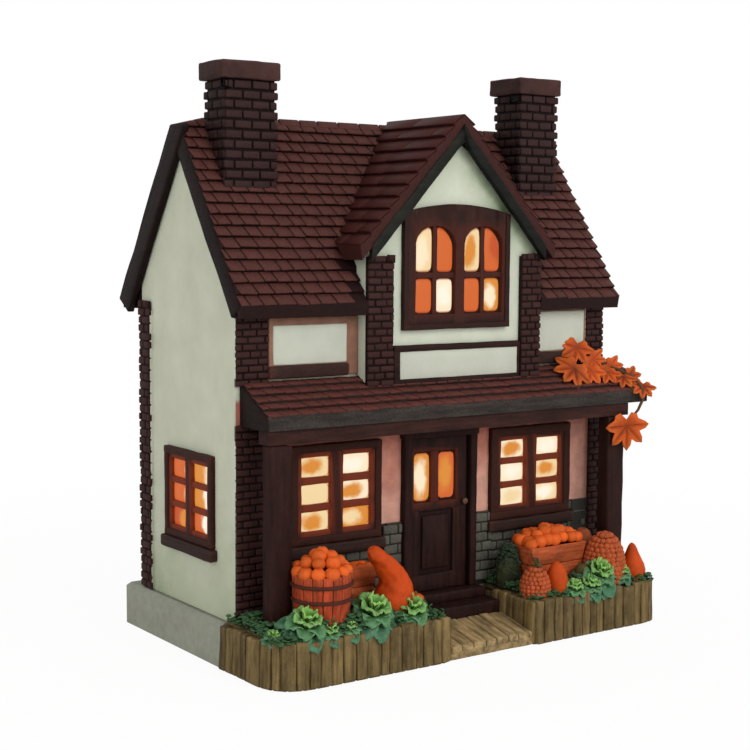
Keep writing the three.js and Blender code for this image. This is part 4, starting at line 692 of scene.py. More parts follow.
# %% [markdown]
# ## Boards along the roof's edges
#
# A near-black board hides the ends of the tiles on each end of the main roof. On the front slope it stands
# just under the tiles, and on the back slope it rises over them, so that the outline there is smooth. The
# cross gable has a narrower board whose two halves end above the brick piers. It leaves a strip of tile
# edge in sight above it, and its lower ends are cut upright.

# %% Rake boards
rake_timber = painted("rake_timber", (0.0065, 0.003, 0.0025), (0.002, 0.001, 0.001), (0.035, 0.015, 0.012),
                      0.5, 260, grain_along=1, bump=0.3)
OUT_FRONT = X.cross(UP_FRONT)
front_edge = plane(EAVE, UP_FRONT, OUT_FRONT)
back_edge = plane(BACK_EAVE, UP_BACK, Vector((0, -OUT_FRONT.y, OUT_FRONT.z)))
for label, front_x, back_x in (
    ("left", (-100.5, -98.3), (-101.3, -98.2)),
    ("right", (92.5, 94.6), (92.4, 95.2)),
):
    bm = new_mesh()
    bar(bm, front_edge, (-0.4 * MM, SLOPE_LENGTH + 0.6 * MM), (-7.6 * MM, 0.2 * MM),
        (front_x[0] * MM, front_x[1] * MM))
    bar(bm, back_edge, (-1.6 * MM, SLOPE_LENGTH + 0.9 * MM), (-8.6 * MM, 1.7 * MM),
        (-back_x[1] * MM, -back_x[0] * MM))
    droop_cuts(bm)
    hewn(bm, 6 * MM, 0.35 * MM, 35)
    round_edges(bm, 0.6 * MM, 2, 0.7)
    finished("rake_cover_" + label, bm, [rake_timber], stands_for=["rake_board_" + label])

# %% Gable board
barge_timber = painted("barge_timber", (0.008, 0.0085, 0.0065), (0.002, 0.002, 0.002), (0.05, 0.042, 0.030),
                       0.5, 260, grain_along=0, bump=0.3)
BARGE_TOP, BARGE_FOOT, BARGE_DEEP = (3.1, 213.2), 164.6, 6.6
barge_half = (BARGE_TOP[1] - BARGE_FOOT) / GABLE_RISE
bm = new_mesh()
for side in (-1, 1):
    def place(x, y, z):
        height = mix(BARGE_TOP[1], BARGE_FOOT, x) - BARGE_DEEP * (1 - y)
        return at_mm(BARGE_TOP[0] + side * barge_half * x, mix(-34.6, -37.5, z), height)

    add_block(bm, place)
bmesh.ops.remove_doubles(bm, verts=bm.verts[:], dist=0.05 * MM)
hewn(bm, 5 * MM, 0.3 * MM, 36)
round_edges(bm, 0.6 * MM, 2, 0.7)
finished("gable_board", bm, [barge_timber], stands_for=["gable_bargeboard"])

# %% Brickwork on a wall
def brickwork(name, patches, brick, course, seed, materials=(wall_brick, mortar), ragged=0.0,
              depth=0.75):
    """Bricks on flat patches, with their sizes in mm. A patch is (face, across range, upwards range, level)."""
    rng = random.Random(seed)
    brick, ragged, joint = brick * MM, ragged * MM, 0.3 * MM
    bm = new_mesh()
    for face, across, upwards, level in patches:
        bar(bm, face, (across[0] + joint, across[1] - joint), (upwards[0] + joint, upwards[1] - joint),
            (level - 0.8 * MM, level + 0.1 * MM), -0.4, 1)
        rows = max(1, round((upwards[1] - upwards[0]) / (course * MM)))
        high = (upwards[1] - upwards[0]) / rows
        length = across[1] - across[0]
        for row in range(rows):
            low = upwards[0] + row * high
            if length > 1.3 * brick:
                at = across[0] + brick - (0.5 if row % 2 else 0.0) * brick
            else:
                at = across[0] + length * (0.62 if row % 2 else 0.4)
            cuts = [across[0]]
            while at < across[1] - 0.3 * brick:
                cuts.append(at + rng.uniform(-0.5, 0.5) * MM)
                at += brick * rng.uniform(0.85, 1.15)
            cuts.append(across[1] + (rng.uniform(-ragged, ragged) if ragged else 0.0))
            for start, end in zip(cuts, cuts[1:]):
                lifted = level + depth * MM + rng.uniform(-0.25, 0.3) * MM
                bar(bm, face, (start + joint, end - joint), (low + joint, low + high - joint),
                    (level - 0.6 * MM, lifted), rng.uniform(-0.3, 0.35))
    roughened(bm, 160, 0.2)
    round_edges(bm, 0.45 * MM, 2)
    finished(name, bm, materials)


front_face = plane(at_mm(0, 0, 0), X, Z)
left_face = plane(at_mm(-97.9, 0, 0), -Y, Z)
right_face = plane(at_mm(92.1, 0, 0), Y, Z)


def patch(face, out, x0, x1, z0, z1):
    """A patch that lies out from a face, with its ranges, all in mm."""
    return face, (x0 * MM, x1 * MM), (z0 * MM, z1 * MM), out * MM


brickwork("corner_bricks", [
    patch(front_face, 26.6, -98.2, -83.4, 110.4, 138.0),
    patch(front_face, 26.6, 81.6, 92.4, 110.4, 138.0),
    patch(front_face, 26.6, -98.2, -85.0, 18.6, 96.0),
    patch(front_face, 26.6, 84.6, 92.4, 18.6, 96.0),
], 6.0, 2.9, 41)
brickwork("pier_bricks_left", [patch(front_face, 33.9, -42.4, -29.4, 108.0, 160.6)], 6.4, 3.0, 42)
brickwork("pier_bricks_right", [patch(front_face, 33.9, 37.4, 48.4, 108.0, 161.4)], 5.4, 3.0, 43)
dress("brick_pier_left", mortar)
dress("brick_pier_right", mortar)
brickwork("quoin_bricks", [
    patch(left_face, 1.15, -52.8, -43.2, 18.4, 141.0),
    patch(right_face, 1.15, 43.2, 52.8, 18.4, 141.0),
], 5.6, 3.4, 44, ragged=0.9)

# %% [markdown]
# ## Walls
#
# The walls stay CAD solids, so their finish does the work. The plaster is a pale sage green, with a thin green
# wash that ran down from the roof and up from the ground, and the porch wall behind the door is painted
# rose. One material makes the walls: height and depth on the wall, read from Object coordinates, choose
# between the washes, and brush marks break them up. The bay under the gable has its own, with the wash from the
# roof.

# %% Plaster
def mask(tree, place, axis, low, high):
    """0 to 1 as an Object coordinate goes from low to high, both in mm."""
    parts = add_node(tree, "ShaderNodeSeparateXYZ", Vector=place)
    return ramp(tree, parts.outputs[axis], low * MM, high * MM, kind="SMOOTHSTEP")


plaster = painted("sage_plaster", (0.50, 0.52, 0.41), (0.16, 0.18, 0.11), (0.62, 0.63, 0.53), 0.25, 70,
                  (0.62, 0.85), 0.35, mottle=0.07)
tree, shader, color = opened(plaster)
spot = object_place(tree)
pull = ramp(tree, cloud(tree, spot, 28.0, 6.0, 0.62), 0.35, 0.65, -12 * MM, 12 * MM)
drift = add_node(tree, "ShaderNodeCombineXYZ", X=pull, Y=pull, Z=pull)
moved = add_node(tree, "ShaderNodeVectorMath", {"operation": "ADD"}, i0=spot, i1=drift.outputs[0]).outputs[0]
low_wash = inverse(tree, mask(tree, moved, 2, 14, 66))
stained = ramp(tree, cloud(tree, spot, 17.0, 7.0, 0.7), 0.5, 0.68, 0.0, 0.55)
color = blend_color(tree, product(tree, low_wash, 0.5), color, rgba(0.24, 0.29, 0.17))
color = blend_color(tree, product(tree, stained, low_wash), color, rgba(0.15, 0.21, 0.11))
in_front = inverse(tree, mask(tree, spot, 1, -24.6, -24.4))
below_porch = inverse(tree, mask(tree, spot, 2, 104, 106))
inner = product(tree, mask(tree, spot, 0, -97.4, -97.0), inverse(tree, mask(tree, spot, 0, 91.2, 91.6)))
behind_porch = product(tree, product(tree, in_front, below_porch), inner)
below_dado = product(tree, behind_porch, inverse(tree, mask(tree, spot, 2, 50.2, 50.5)))
rose = blend_color(tree, mask(tree, moved, 2, 56, 92), rgba(0.54, 0.28, 0.215), rgba(0.40, 0.14, 0.10))
rose = times(tree, rose, ramp(tree, cloud(tree, spot, 130.0, 6.0, 0.7), 0.3, 0.7, 0.72, 1.2))
color = blend_color(tree, behind_porch, color, rose)
color = blend_color(tree, below_dado, color, rgba(0.030, 0.029, 0.024))
tree.links.new(color, shader.inputs["Base Color"])
print("plaster nodes:", len(tree.nodes))

# %% Bay plaster
bay_plaster = painted("bay_plaster", (0.50, 0.53, 0.43), (0.16, 0.2, 0.11), (0.62, 0.63, 0.52), 0.25, 90,
                      (0.62, 0.85), 0.35, mottle=0.06)
tree, shader, color = opened(bay_plaster)
spot = object_place(tree)
parts = add_node(tree, "ShaderNodeSeparateXYZ", Vector=spot)
offset = combine(tree, "SUBTRACT", parts.outputs[0], GABLE_MIDDLE)
aside = add_node(tree, "ShaderNodeMath", {"operation": "ABSOLUTE"}, i0=offset)
line = combine(tree, "ADD", parts.outputs[2], product(tree, aside.outputs[0], GABLE_RISE))
near = ramp(tree, line, 190 * MM, 206 * MM)
rough_near = ramp(tree, cloud(tree, spot, 45.0, 6.0, 0.62), 0.36, 0.62, 0.15, 1.0)
rightward = ramp(tree, parts.outputs[0], -15 * MM, 20 * MM, 0.35, 1.0)
greened = product(tree, product(tree, near, rough_near), rightward)
tree.links.new(blend_color(tree, greened, color, rgba(0.17, 0.24, 0.12)), shader.inputs["Base Color"])

# %% Timber and panel finishes
NEAR_BLACK = (0.003, 0.001, 0.001)
dark_timber = painted("dark_timber", (0.014, 0.0055, 0.0045), NEAR_BLACK, (0.08, 0.026, 0.019), 0.4, 260,
                      grain_along=0, bump=0.3)
upright_timber = painted("upright_timber", (0.014, 0.0045, 0.0035), NEAR_BLACK, (0.09, 0.027, 0.019), 0.4,
                         260, grain_along=2, bump=0.3)
gutter = painted("porch_gutter", (0.013, 0.011, 0.0095), (0.003, 0.003, 0.002), (0.085, 0.068, 0.058), 0.45,
                 200, grain_along=0, bump=0.25)
window_frame = painted("window_frame", (0.018, 0.006, 0.0045), NEAR_BLACK, (0.13, 0.034, 0.018), 0.5, 320,
                       bump=0.3)
door_paint = painted("door_paint", (0.0115, 0.0042, 0.0035), (0.002, 0.001, 0.001), (0.075, 0.024, 0.017),
                     0.5, 320, grain_along=2, bump=0.3)
sill_paint = painted("sill_paint", (0.011, 0.007, 0.006), NEAR_BLACK, (0.16, 0.055, 0.040), 0.6, 280,
                     bump=0.3)
cream_panel = painted("cream_panel", (0.455, 0.47, 0.395), (0.16, 0.16, 0.11), (0.60, 0.60, 0.51), 0.3, 110,
                      (0.6, 0.85), 0.4, mottle=0.05)
rose_border = painted("rose_border", (0.21, 0.105, 0.07), (0.05, 0.02, 0.014), (0.32, 0.17, 0.12), 0.4, 180)
stone = painted("dado_stone", (0.052, 0.050, 0.040), (0.012, 0.012, 0.009), (0.17, 0.16, 0.13), 0.5, 220,
                bump=0.5)
dado_joint = painted("dado_joint", (0.018, 0.018, 0.014), (0.005, 0.005, 0.004), (0.06, 0.06, 0.05), 0.3,
                     400)
plinth_stone = painted("plinth_stone", (0.225, 0.235, 0.185), (0.05, 0.055, 0.04), (0.36, 0.37, 0.31), 0.5,
                       60, (0.6, 0.85), 0.5, mottle=0.1)
for node, finish in (("house_body", plaster), ("gable_bay", bay_plaster), ("plinth", plinth_stone),
                     ("porch_roof", gutter), ("porch_beam", dark_timber)):
    dress(node, finish)

# %% [markdown]
# ## Carved porch posts
#
# The posts are straight in the CAD model, and hand-carved on the real one. A copy of each node's mesh is
# merged, bevelled, cut into short lengths and pushed about by noise, so it keeps its place and its shape
# while its edges catch the light unevenly. The copy replaces the plain node in the picture only.

# %% Carved copies of the porch posts
CARVE_STEP, CARVE_WOBBLE = 6 * MM, 0.35 * MM


def carve(node, name, material, seed):
    """A softened, hewn copy of a node that stands for it."""
    bm = bmesh.new()
    bm.from_mesh(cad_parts[node].data)
    bmesh.ops.remove_doubles(bm, verts=bm.verts[:], dist=0.01 * MM)
    bmesh.ops.dissolve_limit(bm, angle_limit=0.02, verts=bm.verts[:], edges=bm.edges[:])
    bm.verts.layers.float.new("tint")
    bmesh.ops.triangulate(bm, faces=[f for f in bm.faces if len(f.verts) > 4])
    bmesh.ops.join_triangles(bm, faces=bm.faces[:], angle_face_threshold=0.02, angle_shape_threshold=1.2)
    round_edges(bm, 0.9 * MM, 2, 0.6)
    long = [e for e in bm.edges if e.calc_length() > 1.6 * CARVE_STEP]
    bmesh.ops.subdivide_edges(bm, edges=long, cuts=6, use_grid_fill=False)
    shift = Vector((seed * 1.3, seed * 0.7, seed * 2.1))
    for vert in bm.verts:
        vert.co += noise.noise_vector(vert.co / (1.6 * CARVE_STEP) + shift) * CARVE_WOBBLE
    bmesh.ops.triangulate(bm, faces=[f for f in bm.faces if len(f.verts) > 4])
    finished(name, bm, [material], stands_for=[node])


carve("porch_post_left", "carved_post_left", upright_timber, 3)
carve("porch_post_right", "carved_post_right", upright_timber, 4)

# %% [markdown]
# ## Windows
#
# A frame is made of bars with rounded edges, and each pane is a small pillow of translucent plastic that glows.
# The glow isn't even: the lamp stands nearer to some panes than to others, and the paint on the others is
# thicker. Each pane carries its core colour, rim colour and the spread between them as attributes on its
# mesh, and one material turns them into light. A little light also bleeds through the thin resin beside the
# panes, and it is painted on there as a glow: the frames carry a `warm` attribute that falls off with the
# distance from the nearest pane.

# %% Pane glow
glow, tree, shader = new_material("window_glow")
wander = ramp(tree, cloud(tree, object_place(tree), 150.0, 3.0, 0.5), 0.3, 0.7, -0.22, 0.22)
inward = combine(tree, "ADD", attribute(tree, "spread"), wander)
share = ramp(tree, inward, 0.2, 0.75, kind="SMOOTHSTEP")
shown = blend_color(tree, share, attribute(tree, "rim", "Color"), attribute(tree, "core", "Color"))
shown = blend_color(tree, attribute(tree, "bleed"), shown, rgba(0.30, 0.030, 0.006))
tree.links.new(shown, shader.inputs["Emission Color"])
shader.inputs["Emission Strength"].default_value = 1.0
shader.inputs["Roughness"].default_value = 0.35
shader.inputs["Specular IOR Level"].default_value = 0.1
shader.inputs["Base Color"].default_value = rgba(0.05, 0.02, 0.008)

WHITE, PALE, CREAM = (0.98, 0.90, 0.74), (0.93, 0.80, 0.56), (0.86, 0.66, 0.36)
AMBER, ORANGE, RED = (0.68, 0.25, 0.035), (0.62, 0.12, 0.025), (0.50, 0.07, 0.018)
RINGS = (0.0, 0.06, 0.2, 0.4, 0.6, 0.8, 0.94, 1.0)


def add_pane(bm, face, across, upwards, level, crown, paint, arch=(0.0, 0.0)):
    """A pillow of glow on a face. Its middle stands out by crown. arch lowers its top's left and right corners.

    paint is its core colour, its rim colour and where its core lies: a spot across and up the pane, and
    perhaps a third number below 1 that draws the spot out to a band.
    """
    core_color, rim_color, middle = paint
    squeeze = middle[2] if len(middle) > 2 else 1.0
    grid = bmesh.ops.create_grid(bm, x_segments=7, y_segments=7, size=0.5)["verts"]
    layers_of = bm.verts.layers
    core_layer, rim_layer = layers_of.float_color["core"], layers_of.float_color["rim"]
    spread_layer, bleed_layer = layers_of.float["spread"], layers_of.float["bleed"]
    wide, high = across[1] - across[0], upwards[1] - upwards[0]
    for vert in grid:
        u, v = RINGS[round((vert.co.x + 0.5) * 7)], RINGS[round((vert.co.y + 0.5) * 7)]
        inset = min(u, 1 - u, v, 1 - v) * 2
        lowered = arch[0] * (1 - u) ** 2.2 + arch[1] * u ** 2.2
        round_u = u - (u - 0.5) * 0.12 * (2 * v - 1) ** 6
        round_v = v - (v - 0.5) * 0.14 * (2 * u - 1) ** 6
        vert.co = face(across[0] + wide * round_u, upwards[0] + high * round_v * (1 - lowered),
                       level + crown * (1 - (1 - inset) ** 2.4))
        vert[core_layer] = (*core_color, 1)
        vert[rim_layer] = (*rim_color, 1)
        away = math.hypot((u - middle[0]) * 1.25, (v - middle[1]) * 1.25 * squeeze)
        vert[spread_layer] = min(1.0, max(0.0, 1.15 - away * 1.5))
        vert[bleed_layer] = 1.0 if inset < 0.01 else 0.0


def pane_mesh():
    bm = bmesh.new()
    for name in ("core", "rim"):
        bm.verts.layers.float_color.new(name)
    for name in ("spread", "bleed"):
        bm.verts.layers.float.new(name)
    return bm


def warm_beside(bm, face, openings, reach=1.7 * MM):
    """Writes how much painted glow a frame gets from the pane light: 1 at the edge of a pane and 0 at reach
    from it.
    """
    layer = bm.verts.layers.float.new("warm")
    origin = face(0, 0, 0)
    right, up = (face(1, 0, 0) - origin), (face(0, 1, 0) - origin)
    for vert in bm.verts:
        a, b = (vert.co - origin).dot(right), (vert.co - origin).dot(up)
        gaps = [(max(x0 - a, a - x1, 0.0), max(z0 - b, b - z1, 0.0)) for (x0, x1), (z0, z1) in openings]
        nearest = min(math.hypot(*gap) for gap in gaps)
        vert[layer] = max(0.0, 1 - nearest / reach) ** 1.5


def glowing_frame(material, color):
    """Lets a frame's own finish shine, as painted glow, where its warm attribute says so."""
    tree, shader, _ = opened(material)
    shine = blend_color(tree, attribute(tree, "warm"), rgba(0, 0, 0), rgba(*color))
    tree.links.new(shine, shader.inputs["Emission Color"])
    shader.inputs["Emission Strength"].default_value = 1.0


glowing_frame(window_frame, (0.12, 0.016, 0.004))
glowing_frame(door_paint, (0.06, 0.008, 0.002))


# %% A six-light window
def sashes(middle, foot, size, border, bar_width, mullion):
    """The ranges of a six-light window's panes, from the top left, in mm."""
    left = middle - size[0] / 2 + border
    wide = (size[0] - 2 * border - mullion) / 2
    high = (size[1] - 2 * border - 2 * bar_width) / 3
    for row in (2, 1, 0):
        for column in (0, 1):
            x0 = left + column * (wide + mullion)
            z0 = foot + border + row * (high + bar_width)
            yield (x0 * MM, (x0 + wide) * MM), (z0 * MM, (z0 + high) * MM)


def sash_window(node, face, middle, foot, size, border, bar_width, mullion, proud, panes, seed):
    """A moulded frame with a sill and six glowing panes, in mm. proud is how far its face stands out."""
    left, right, top = middle - size[0] / 2, middle + size[0] / 2, foot + size[1]
    openings = list(sashes(middle, foot, size, border, bar_width, mullion))
    high = (size[1] - 2 * border - 2 * bar_width) / 3
    rail, back = border * 0.62, proud - 2.6
    members = [
        (left, left + rail, foot, top, 0.2, 0.05),
        (right - rail, right, foot, top, 0.2, -0.05),
        (left, right, top - rail, top, 0.35, 0.1),
        (left, right, foot, foot + rail, 0.2, 0.0),
        (left + 1, left + border, foot + 1, top - 1, -0.6, 0.0),
        (right - border, right - 1, foot + 1, top - 1, -0.6, 0.0),
        (left + 1, right - 1, top - border, top - 1, -0.6, 0.0),
        (left + 1, right - 1, foot + 1, foot + border, -0.6, 0.0),
        (middle - mullion / 2, middle + mullion / 2, foot + 1, top - 1, -0.3, 0.06),
    ]
    for row in (1, 2):
        low = foot + border + row * high + (row - 1) * bar_width
        members.append((left + 1, right - 1, low, low + bar_width, -0.8, 0.08))
    bm = new_mesh()
    for x0, x1, z0, z1, out, tint in members:
        bar_mm(bm, face, x0, x1, z0, z1, back, proud + out, tint)
    hewn(bm, 3.0 * MM, 0.24 * MM, seed)
    warm_beside(bm, face, openings)
    round_edges(bm, 0.55 * MM, 2, 0.8)
    finished(node + "_frame", bm, [window_frame], stands_for=[node])
    bm = new_mesh()
    bar_mm(bm, face, left - 1.6, right + 1.6, foot - 4.9, foot - 0.1, back, proud + 1.5)
    hewn(bm, 3.0 * MM, 0.3 * MM, seed + 5)
    round_edges(bm, 1.0 * MM, 3, 0.8)
    finished(node + "_sill", bm, [sill_paint], stands_for=[node])
    bm = pane_mesh()
    grown = 0.3 * MM
    for (across, upwards), paint in zip(openings, panes):
        add_pane(bm, face, (across[0] - grown, across[1] + grown), (upwards[0] - grown, upwards[1] + grown),
                 (proud - 2.3) * MM, 1.1 * MM, paint)
    finished(node + "_panes", bm, [glow], stands_for=[node])


sash_window("porch_window_left", front_face, -52.0, 46.0, (43.4, 40), 5.2, 3.0, 6.2, 27.9, [
    (AMBER, CREAM, (0.42, 0.55)), (WHITE, PALE, (0.35, 0.5)),
    (CREAM, CREAM, (0.5, 0.5)), (AMBER, PALE, (0.35, 0.5)),
    (AMBER, CREAM, (0.4, 0.45)), (CREAM, AMBER, (0.35, 0.5)),
], 51)
sash_window("porch_window_right", front_face, 50.2, 46.0, (45.4, 40), 5.8, 2.8, 6.6, 27.9, [
    (AMBER, PALE, (0.45, 0.5)), (WHITE, PALE, (0.5, 0.5)),
    (WHITE, PALE, (0.5, 0.5)), (AMBER, CREAM, (0.45, 0.5)),
    (CREAM, PALE, (0.5, 0.5)), (WHITE, CREAM, (0.35, 0.5)),
], 52)

# %% Side windows
SIDE_PANES = [
    (CREAM, ORANGE, (1.22, 0.5, 0.3)), (PALE, AMBER, (1.08, 0.5, 0.3)),
    (CREAM, ORANGE, (1.25, 0.5, 0.3)), (WHITE, AMBER, (1.04, 0.5, 0.3)),
    (AMBER, RED, (0.9, 0.3, 0.5)), (WHITE, ORANGE, (1.0, 0.4, 0.4)),
]
mirrored = []
for row in range(3):
    for column in (1, 0):
        core_color, rim_color, (side, up, band) = SIDE_PANES[row * 2 + column]
        mirrored.append((core_color, rim_color, (1 - side, up, band)))
sash_window("side_window_left", left_face, -9.6, 45.0, (40, 37), 4.8, 2.6, 4.8, 1.9, SIDE_PANES, 53)
sash_window("side_window_right", right_face, 9.6, 45.0, (40, 37), 4.8, 2.6, 4.8, 1.9, mirrored, 54)

# %% [markdown]
# ## Arched window of the gable
#
# Its frame is one plate with a low arched top, in which two arched lights are sunk. The plate is laid as
# upright strips: each strip runs from the lights' outline to the frame's, and doubles are merged afterwards,
# so that the bevel and the noise treat it as one piece.

# %% Gable window
gable_frame = painted("gable_window_frame", (0.015, 0.006, 0.005), (0.003, 0.001, 0.001),
                      (0.075, 0.025, 0.018), 0.45, 300, bump=0.25)
glowing_frame(gable_frame, (0.030, 0.004, 0.001))
WINDOW_X, WINDOW_FOOT, SHOULDER, CROWN_TOP = (-24.4, 30.6), 130.3, 177.6, 181.4
LIGHTS = ((-18.5, 2.0), (6.5, 26.9))
SILL_Z, SPRING, ARCH_TOP, CROSS_BAR = 136.4, 165.4, 172.6, (151.3, 153.4)
FRONT_OUT, EDGING = 33.9, 2.2


def outer_top(x):
    """The frame's low arch at x, in mm."""
    middle, half = sum(WINDOW_X) / 2, (WINDOW_X[1] - WINDOW_X[0]) / 2
    return SHOULDER + (CROWN_TOP - SHOULDER) * (1 - ((x - middle) / half) ** 2)


def light_top(x):
    """The lights' arches at x, or None between them."""
    for x0, x1 in LIGHTS:
        if x0 - 0.001 <= x <= x1 + 0.001:
            share = (x - (x0 + x1) / 2) / ((x1 - x0) / 2)
            return SPRING + (ARCH_TOP - SPRING) * math.sqrt(max(0.0, 1 - share * share))
    return None


bm = new_mesh()
marks = [WINDOW_X[0]]
for x0, x1 in LIGHTS:
    middle, half = (x0 + x1) / 2, (x1 - x0) / 2
    marks += [middle - half * math.cos(math.pi * i / 8) for i in range(9)]
marks.append(WINDOW_X[1])
for x0, x1 in zip(marks, marks[1:]):
    between = light_top((x0 + x1) / 2) is None
    pieces = [(WINDOW_FOOT, None)] if between else [(None, None), (WINDOW_FOOT, SILL_Z)]
    for foot, flat_top in pieces:
        def place(x, y, z):
            across = mix(x0, x1, x)
            low = light_top(across) if foot is None else foot
            high = outer_top(across) if flat_top is None else flat_top
            return front_face(across * MM, mix(low, high, y) * MM, mix(FRONT_OUT - 2.2, FRONT_OUT, z) * MM)

        add_block(bm, place)
bmesh.ops.remove_doubles(bm, verts=bm.verts[:], dist=0.02 * MM)
shared = {}
for face in bm.faces:
    shared.setdefault(tuple(round(c / MM, 2) for c in face.calc_center_median()), []).append(face)
bmesh.ops.delete(bm, geom=[f for twins in shared.values() if len(twins) > 1 for f in twins], context="FACES")
left, right = WINDOW_X
back = FRONT_OUT - 2
bar_mm(bm, front_face, left, left + EDGING, WINDOW_FOOT, SHOULDER, back, FRONT_OUT + 0.5)
bar_mm(bm, front_face, right - EDGING, right, WINDOW_FOOT, SHOULDER, back, FRONT_OUT + 0.5)
bar_mm(bm, front_face, left, right, WINDOW_FOOT, WINDOW_FOOT + EDGING, back, FRONT_OUT + 0.6)
openings = []
for x0, x1 in LIGHTS:
    middle = (x0 + x1) / 2
    bar_mm(bm, front_face, x0 - 0.4, x1 + 0.4, *CROSS_BAR, back, FRONT_OUT - 0.9, 0.1)
    bar_mm(bm, front_face, middle - 0.95, middle + 0.95, SILL_Z, ARCH_TOP + 0.3, back, FRONT_OUT - 0.8, 0.08)
    openings.append(((x0 * MM, x1 * MM), (SILL_Z * MM, ARCH_TOP * MM)))
hewn(bm, 3.4 * MM, 0.2 * MM, 60)
warm_beside(bm, front_face, openings, 1.6 * MM)
round_edges(bm, 0.5 * MM, 2, 0.8)
finished("gable_window_frame", bm, [gable_frame], stands_for=["gable_window"])
bm = new_mesh()
bar_mm(bm, front_face, -21, 28, 134, 174, FRONT_OUT - 3.4, FRONT_OUT - 1.9, -0.3)
finished("gable_window_back", bm, [gable_frame], stands_for=["gable_window"], smooth=False)
bm = pane_mesh()
PAIRS = (  # the paint of the lower and the upper pane, from the left
    ((ORANGE, ORANGE, (0.5, 0.5)), (PALE, CREAM, (0.35, 0.5))),
    ((WHITE, PALE, (0.5, 0.5)), (ORANGE, ORANGE, (0.5, 0.5))),
    ((ORANGE, ORANGE, (0.5, 0.5)), (AMBER, CREAM, (0.35, 0.5))),
    ((PALE, AMBER, (0.4, 0.5)), (RED, ORANGE, (0.7, 0.6))),
)
level = (FRONT_OUT - 1.9) * MM
for number, (lower, upper) in enumerate(PAIRS):
    x0, x1 = LIGHTS[number // 2]
    middle = (x0 + x1) / 2
    if number % 2 == 0:
        across, arch = ((x0 + 0.5) * MM, (middle - 0.9) * MM), (0.30, 0.0)
    else:
        across, arch = ((middle + 0.9) * MM, (x1 - 0.5) * MM), (0.0, 0.30)
    add_pane(bm, front_face, across, ((SILL_Z + 0.5) * MM, 151.0 * MM), level, 0.9 * MM, lower)
    add_pane(bm, front_face, across, (153.6 * MM, (ARCH_TOP - 0.5) * MM), level, 0.9 * MM, upper, arch)
finished("gable_window_panes", bm, [glow], stands_for=["gable_window"])

# %% [markdown]
# ## Front door
#
# The door is moulded in one with the wall, so it is a leaf with a raised panel and two lights inside a case.
# The case stands out from the wall, and the leaf lies deeper on its right side, where the photograph shows a
# dark return. The two steps below it belong to the case.

# %% Door case and steps
def rounded_bars(name, node, members, material, seed, step, wobble, radius):
    """Bars on the front, hewn and rounded together. Each is x0, x1, z0, z1, back, front, tint in mm."""
    bm = new_mesh()
    for member in members:
        bar_mm(bm, front_face, *member)
    hewn(bm, step * MM, wobble * MM, seed)
    round_edges(bm, radius * MM, 2, 0.8)
    finished(name, bm, [material], stands_for=[node])


DOOR_LIGHTS = (((-13.2, -4.6), PALE, AMBER), ((-0.4, 8.5), AMBER, ORANGE))
DOOR_LIGHT_Z = (57.6 * MM, 78.4 * MM)
rounded_bars("door_case", "door_frame", [
    (-19.2, -15.4, 19.2, 88.4, 24.9, 28.9, 0.05), (15.6, 19.0, 19.2, 88.4, 24.9, 28.9, -0.05),
    (-19.8, 19.6, 84.6, 89.0, 24.9, 29.3, 0.1), (-20.4, 21.4, 14.9, 19.3, 25.6, 32.9, 0.05),
    (-20.4, 22.4, 0.2, 15.0, 25.6, 41.1, -0.05), (-20.4, 21.6, 0.3, 18.6, 25.6, 32.4, -0.1),
], door_paint, 61, 4.2, 0.3, 0.8)

# %% Door leaf
bm = new_mesh()
for x0, x1, z0, z1, out, tint in (
    (-15.6, -13.4, 19.4, 84.8, 27.2, 0.05), (8.7, 14.2, 19.4, 84.8, 27.2, -0.05),
    (-15.6, 14.2, 78.6, 84.8, 27.2, 0.0), (-15.6, 14.2, 53.6, 57.4, 27.2, 0.08),
    (-15.6, 14.2, 19.4, 26.6, 27.2, -0.03), (-4.5, -0.5, 57.0, 79.0, 27.1, 0.06),
    (-13.6, -10.6, 26.0, 54.0, 27.2, 0.0), (7.2, 9.0, 26.0, 54.0, 27.2, 0.0),
    (-8.6, 5.2, 28.9, 51.4, 26.9, 0.1),
):
    bar_mm(bm, front_face, x0, x1, z0, z1, out - 1.8, out, tint)
bar_mm(bm, front_face, -15.4, 15.8, 19.6, 84.8, 24.6, 25.9, -0.3)
hewn(bm, 3.4 * MM, 0.18 * MM, 63)
warm_beside(bm, front_face, [((x0 * MM, x1 * MM), DOOR_LIGHT_Z) for (x0, x1), _, _ in DOOR_LIGHTS], 1.8 * MM)
round_edges(bm, 0.5 * MM, 2, 0.8)
finished("moulded_door", bm, [door_paint], stands_for=["front_door"])
bm = pane_mesh()
for (x0, x1), core_color, rim_color in DOOR_LIGHTS:
    add_pane(bm, front_face, (x0 * MM, x1 * MM), DOOR_LIGHT_Z, 25.8 * MM, 0.9 * MM,
             (core_color, rim_color, (0.4, 0.5)))
finished("door_panes", bm, [glow], stands_for=["front_door"])
knob_finish = painted("knob_finish", (0.035, 0.016, 0.010), (0.006, 0.003, 0.002), (0.20, 0.10, 0.06),
                      0.6, 500, (0.35, 0.6))
dress("door_knob", knob_finish)

# %% Stone dado beside the door
brickwork("dado_stones", [
    patch(front_face, 25.5, -84.8, -75.0, 20.4, 50.0),
    patch(front_face, 25.5, -74.8, -29.2, 20.4, 40.4),
    patch(front_face, 26.7, -29.0, -19.4, 20.4, 50.0),
    patch(front_face, 26.7, 19.4, 28.8, 20.4, 50.0),
    patch(front_face, 25.5, 29.0, 73.4, 20.4, 40.4),
    patch(front_face, 25.5, 73.6, 84.4, 20.4, 50.0),
], 7.2, 4.4, 62, [stone, dado_joint], depth=0.7)

# %% Panels of the upper wall
PANEL_OUT, PANEL_SILL = 27.4, 112.9


